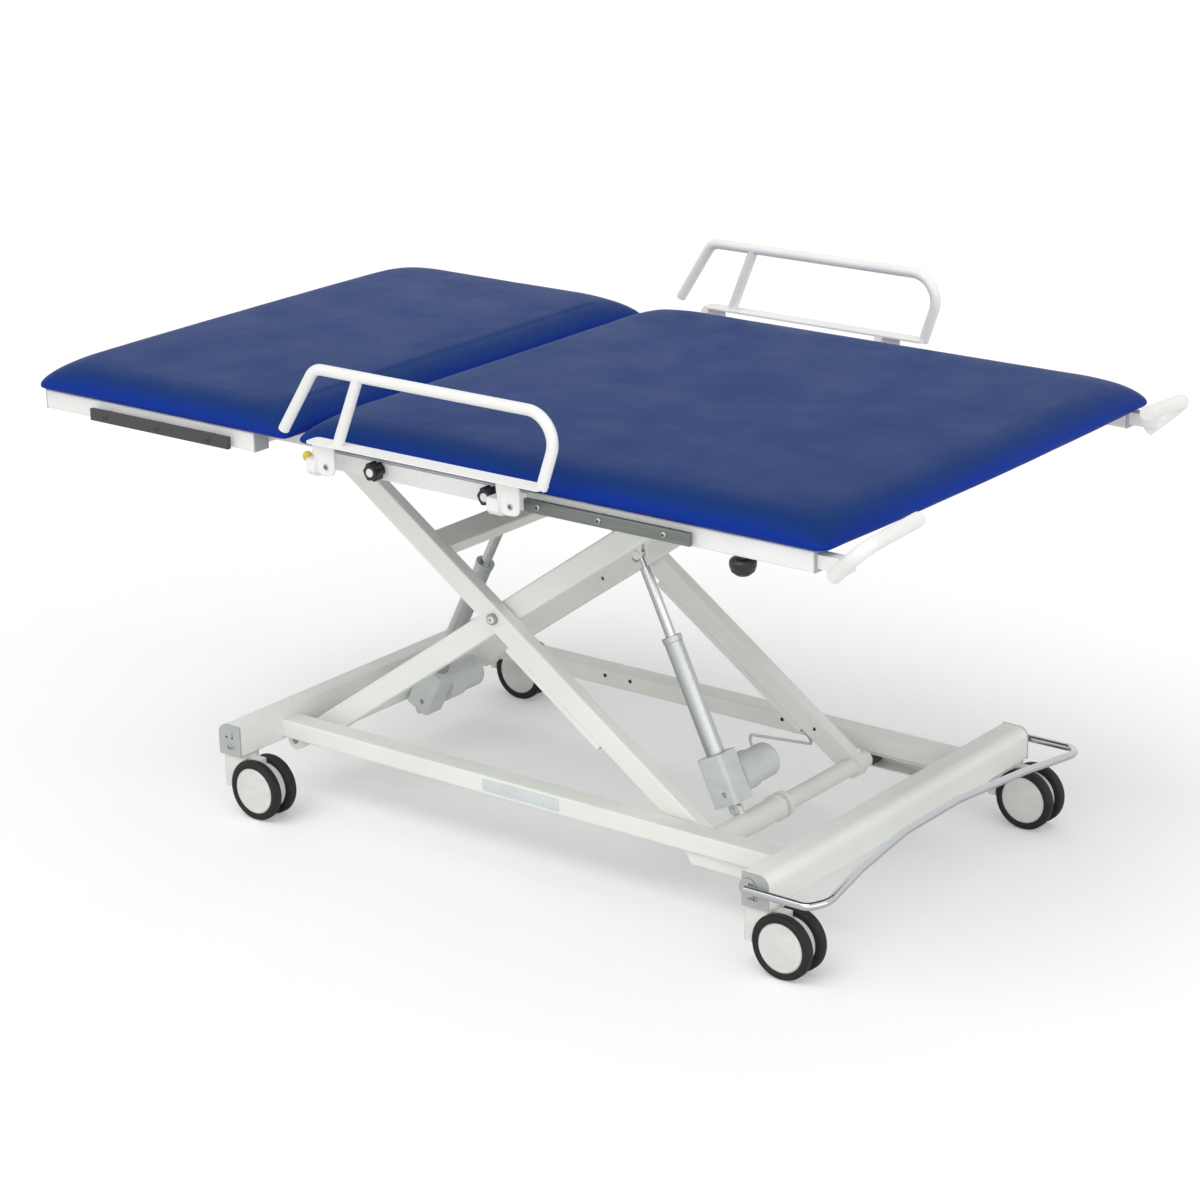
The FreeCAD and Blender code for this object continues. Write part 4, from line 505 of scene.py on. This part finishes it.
for side, sign in SIDES:
    out = (0, sign, 0)
    for end, x in STAR_KNOBS:
        knob = "star_knob_%s_%s" % (side, end)
        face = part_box(knob)[0].y if sign < 0 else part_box(knob)[1].y
        lathe(knob + "_cap", KNOB_CAP, WHITE, (x, face, STAR_KNOB_UP), out, knob)
    for number, share in enumerate(MAIN_RAIL_SCREWS):
        socket_screw("main_rail_screw_%s_%d" % (side, number),
                     (MAIN_RAIL_START + MAIN_RAIL_LONG * share, sign * RAIL_FACE, MAIN_RAIL_UP), out, 0.0065,
                     "top_frame")
    for number, share in enumerate(HEAD_RAIL_SCREWS):
        socket_screw("head_rail_screw_%s_%d" % (side, number),
                     (HEAD_RAIL_START + HEAD_RAIL_LONG * share, sign * RAIL_FACE, HEAD_RAIL_UP), out, 0.006,
                     "head_section", material=HEAD_RAIL)
    for end, direction in ENDS:
        x = direction * BEAM_CAP_X
        y = sign * BEAM_CAP_FACE
        socket_screw("beam_cap_bolt_%s_%s" % (side, end), (x, y, CAP_BOLT_UP), out, 0.0055, "base")
        # the cap's slots are small dark discs of painted shade
        for number, shift in enumerate((-0.008, 0.008)):
            lathe("beam_cap_slot_%s_%s_%d" % (side, end, number), CAP_SLOT, HOLE_PAINTED_SHADE, (x + shift, y, CAP_SLOT_UP),
                  out, "base", 12)
    for end, x in GUARD_BOLTS:
        socket_screw("side_rail_bolt_%s_%s" % (side, end), (x, sign * GUARD_BOLT_FACE, GUARD_BOLT_UP), out,
                     0.0065, "side_rail_" + side, rise=GUARD_BOLT_RISE)
socket_screw("mid_pivot_recess", MID_PIVOT, (0, -1, 0), 0.008, "inner_arms", material=ARMS)
# the far rail's holes are dark discs of painted shade
for number, x in enumerate(FAR_RAIL_HOLES):
    lathe("far_rail_hole_%d" % number, FAR_RAIL_HOLE, HOLE_PAINTED_SHADE, (x, FAR_RAIL_FACE, FAR_RAIL_UP), (0, -1, 0),
          "base", 16)


PLATE_STEPS = 4


def plate(name, low, high, radius, material, body):
    """Thin plate with rounded corners on a face that looks to -Y."""
    work = bmesh.new()
    corners = []
    for sx, sz in ((1, 1), (-1, 1), (-1, -1), (1, -1)):
        centre_x = (high[0] if sx > 0 else low[0]) - sx * radius
        centre_z = (high[2] if sz > 0 else low[2]) - sz * radius
        start = math.atan2(sz, sx) - math.pi / 4
        for step in range(PLATE_STEPS + 1):
            turn = start + step * math.pi / 2 / PLATE_STEPS
            corners.append(work.verts.new((centre_x + radius * math.cos(turn), high[1],
                                           centre_z + radius * math.sin(turn))))
    face = work.faces.new(corners)
    grown = bmesh.ops.extrude_face_region(work, geom=[face])
    for item in grown["geom"]:
        if isinstance(item, bmesh.types.BMVert):
            item.co.y = low[1]
    bmesh.ops.recalc_face_normals(work, faces=work.faces)
    mesh = bpy.data.meshes.new(name)
    work.to_mesh(mesh)
    work.free()
    mesh.materials.append(material)
    piece = linked(name, mesh)
    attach(piece, body)


plate("base_label", (-0.090, -0.3466, 0.147), (0.108, -0.346, 0.174), 0.004, LABEL, "base")


# camera, floor and light

CAMERA_PLACE = (3.8477, -5.0205, 2.6378)
CAMERA_ANGLES = (-37.81, 18.86, -0.99)     # yaw, pitch and roll in degrees
CAMERA_LENS = 97.1
FLOOR_HALF = 60.0
FLOOR_LIFT = 0.17                          # keeps the floor white to the camera, with its shadow
SOFT_LIGHT = 0.66
SUNS = (("key", (0.16, 0.50, -0.85), 0.85, 45), ("front", (-0.30, 0.85, -0.35), 0.55, 60),
        ("side", (-0.90, 0.25, -0.25), 0.85, 60))


def look():
    """Camera where the photograph was taken from, found from points of the table."""
    yaw, pitch, roll = (math.radians(angle) for angle in CAMERA_ANGLES)
    forward = Vector((math.sin(yaw) * math.cos(pitch), math.cos(yaw) * math.cos(pitch), -math.sin(pitch)))
    right = Vector((math.cos(yaw), -math.sin(yaw), 0))
    up = right.cross(forward)
    turned_right = math.cos(roll) * right + math.sin(roll) * up
    turned_up = -math.sin(roll) * right + math.cos(roll) * up
    rotation = Matrix((turned_right, turned_up, -forward)).transposed().to_4x4()
    data = bpy.data.cameras.new("camera")
    data.lens = CAMERA_LENS
    data.sensor_width = 36.0
    data.clip_end = 200.0
    camera = bpy.data.objects.new("camera", data)
    scene.collection.objects.link(camera)
    camera.matrix_world = Matrix.Translation(CAMERA_PLACE) @ rotation
    scene.camera = camera


def floor():
    half = FLOOR_HALF
    mesh = bpy.data.meshes.new("floor")
    corners = [(-half, -half, 0), (half, -half, 0), (half, half, 0), (-half, half, 0)]
    mesh.from_pydata(corners, [], [(0, 1, 2, 3)])
    tree = Tree("floor_white")
    mottle = tree.remap(tree.noise(1.5, 2.0), 0.3, 0.7, 0.0, 1.0)
    tree.join(tree.blend(mottle, linear((240, 240, 240)), linear((238, 238, 238))),
              tree.shader.inputs["Base Color"])
    tree.set(Roughness=0.9, Specular_IOR_Level=0.0)
    lifted = tree.nodes.new("ShaderNodeMath")
    lifted.operation = "MULTIPLY"
    lifted.inputs[1].default_value = FLOOR_LIFT
    tree.join(tree.nodes.new("ShaderNodeLightPath").outputs["Is Camera Ray"], lifted.inputs[0])
    tree.join(lifted.outputs[0], tree.shader.inputs["Emission Strength"])
    tree.shader.inputs["Emission Color"].default_value = (1, 1, 1, 1)
    mesh.materials.append(tree.material)
    linked("floor", mesh)


def world():
    """Even studio light; camera, glossy and transmission rays see plain white."""
    sky = bpy.data.worlds.new("studio")
    sky.use_nodes = True
    tree = sky.node_tree
    out = tree.nodes["World Output"]
    soft = tree.nodes["Background"]
    soft.inputs["Color"].default_value = (1, 1, 1, 1)
    soft.inputs["Strength"].default_value = SOFT_LIGHT
    seen = tree.nodes.new("ShaderNodeBackground")
    seen.inputs["Color"].default_value = (1, 1, 1, 1)
    seen.inputs["Strength"].default_value = 1.0
    path = tree.nodes.new("ShaderNodeLightPath")
    either = tree.nodes.new("ShaderNodeMath")
    either.operation = "MAXIMUM"
    any_seen = tree.nodes.new("ShaderNodeMath")
    any_seen.operation = "MAXIMUM"
    tree.links.new(path.outputs["Is Camera Ray"], either.inputs[0])
    tree.links.new(path.outputs["Is Glossy Ray"], either.inputs[1])
    tree.links.new(either.outputs[0], any_seen.inputs[0])
    tree.links.new(path.outputs["Is Transmission Ray"], any_seen.inputs[1])
    mix = tree.nodes.new("ShaderNodeMixShader")
    tree.links.new(any_seen.outputs[0], mix.inputs["Fac"])
    tree.links.new(soft.outputs[0], mix.inputs[1])
    tree.links.new(seen.outputs[0], mix.inputs[2])
    tree.links.new(mix.outputs[0], out.inputs["Surface"])
    scene.world = sky


def sun(name, toward, strength, spread):
    data = bpy.data.lights.new(name, "SUN")
    data.energy = strength
    data.angle = math.radians(spread)
    lamp = bpy.data.objects.new(name, data)
    scene.collection.objects.link(lamp)
    lamp.rotation_euler = Vector(toward).to_track_quat("-Z", "Y").to_euler()


look()
floor()
world()
for name, toward, strength, spread in SUNS:
    sun(name, toward, strength, spread)

scene.view_settings.view_transform = "Standard"
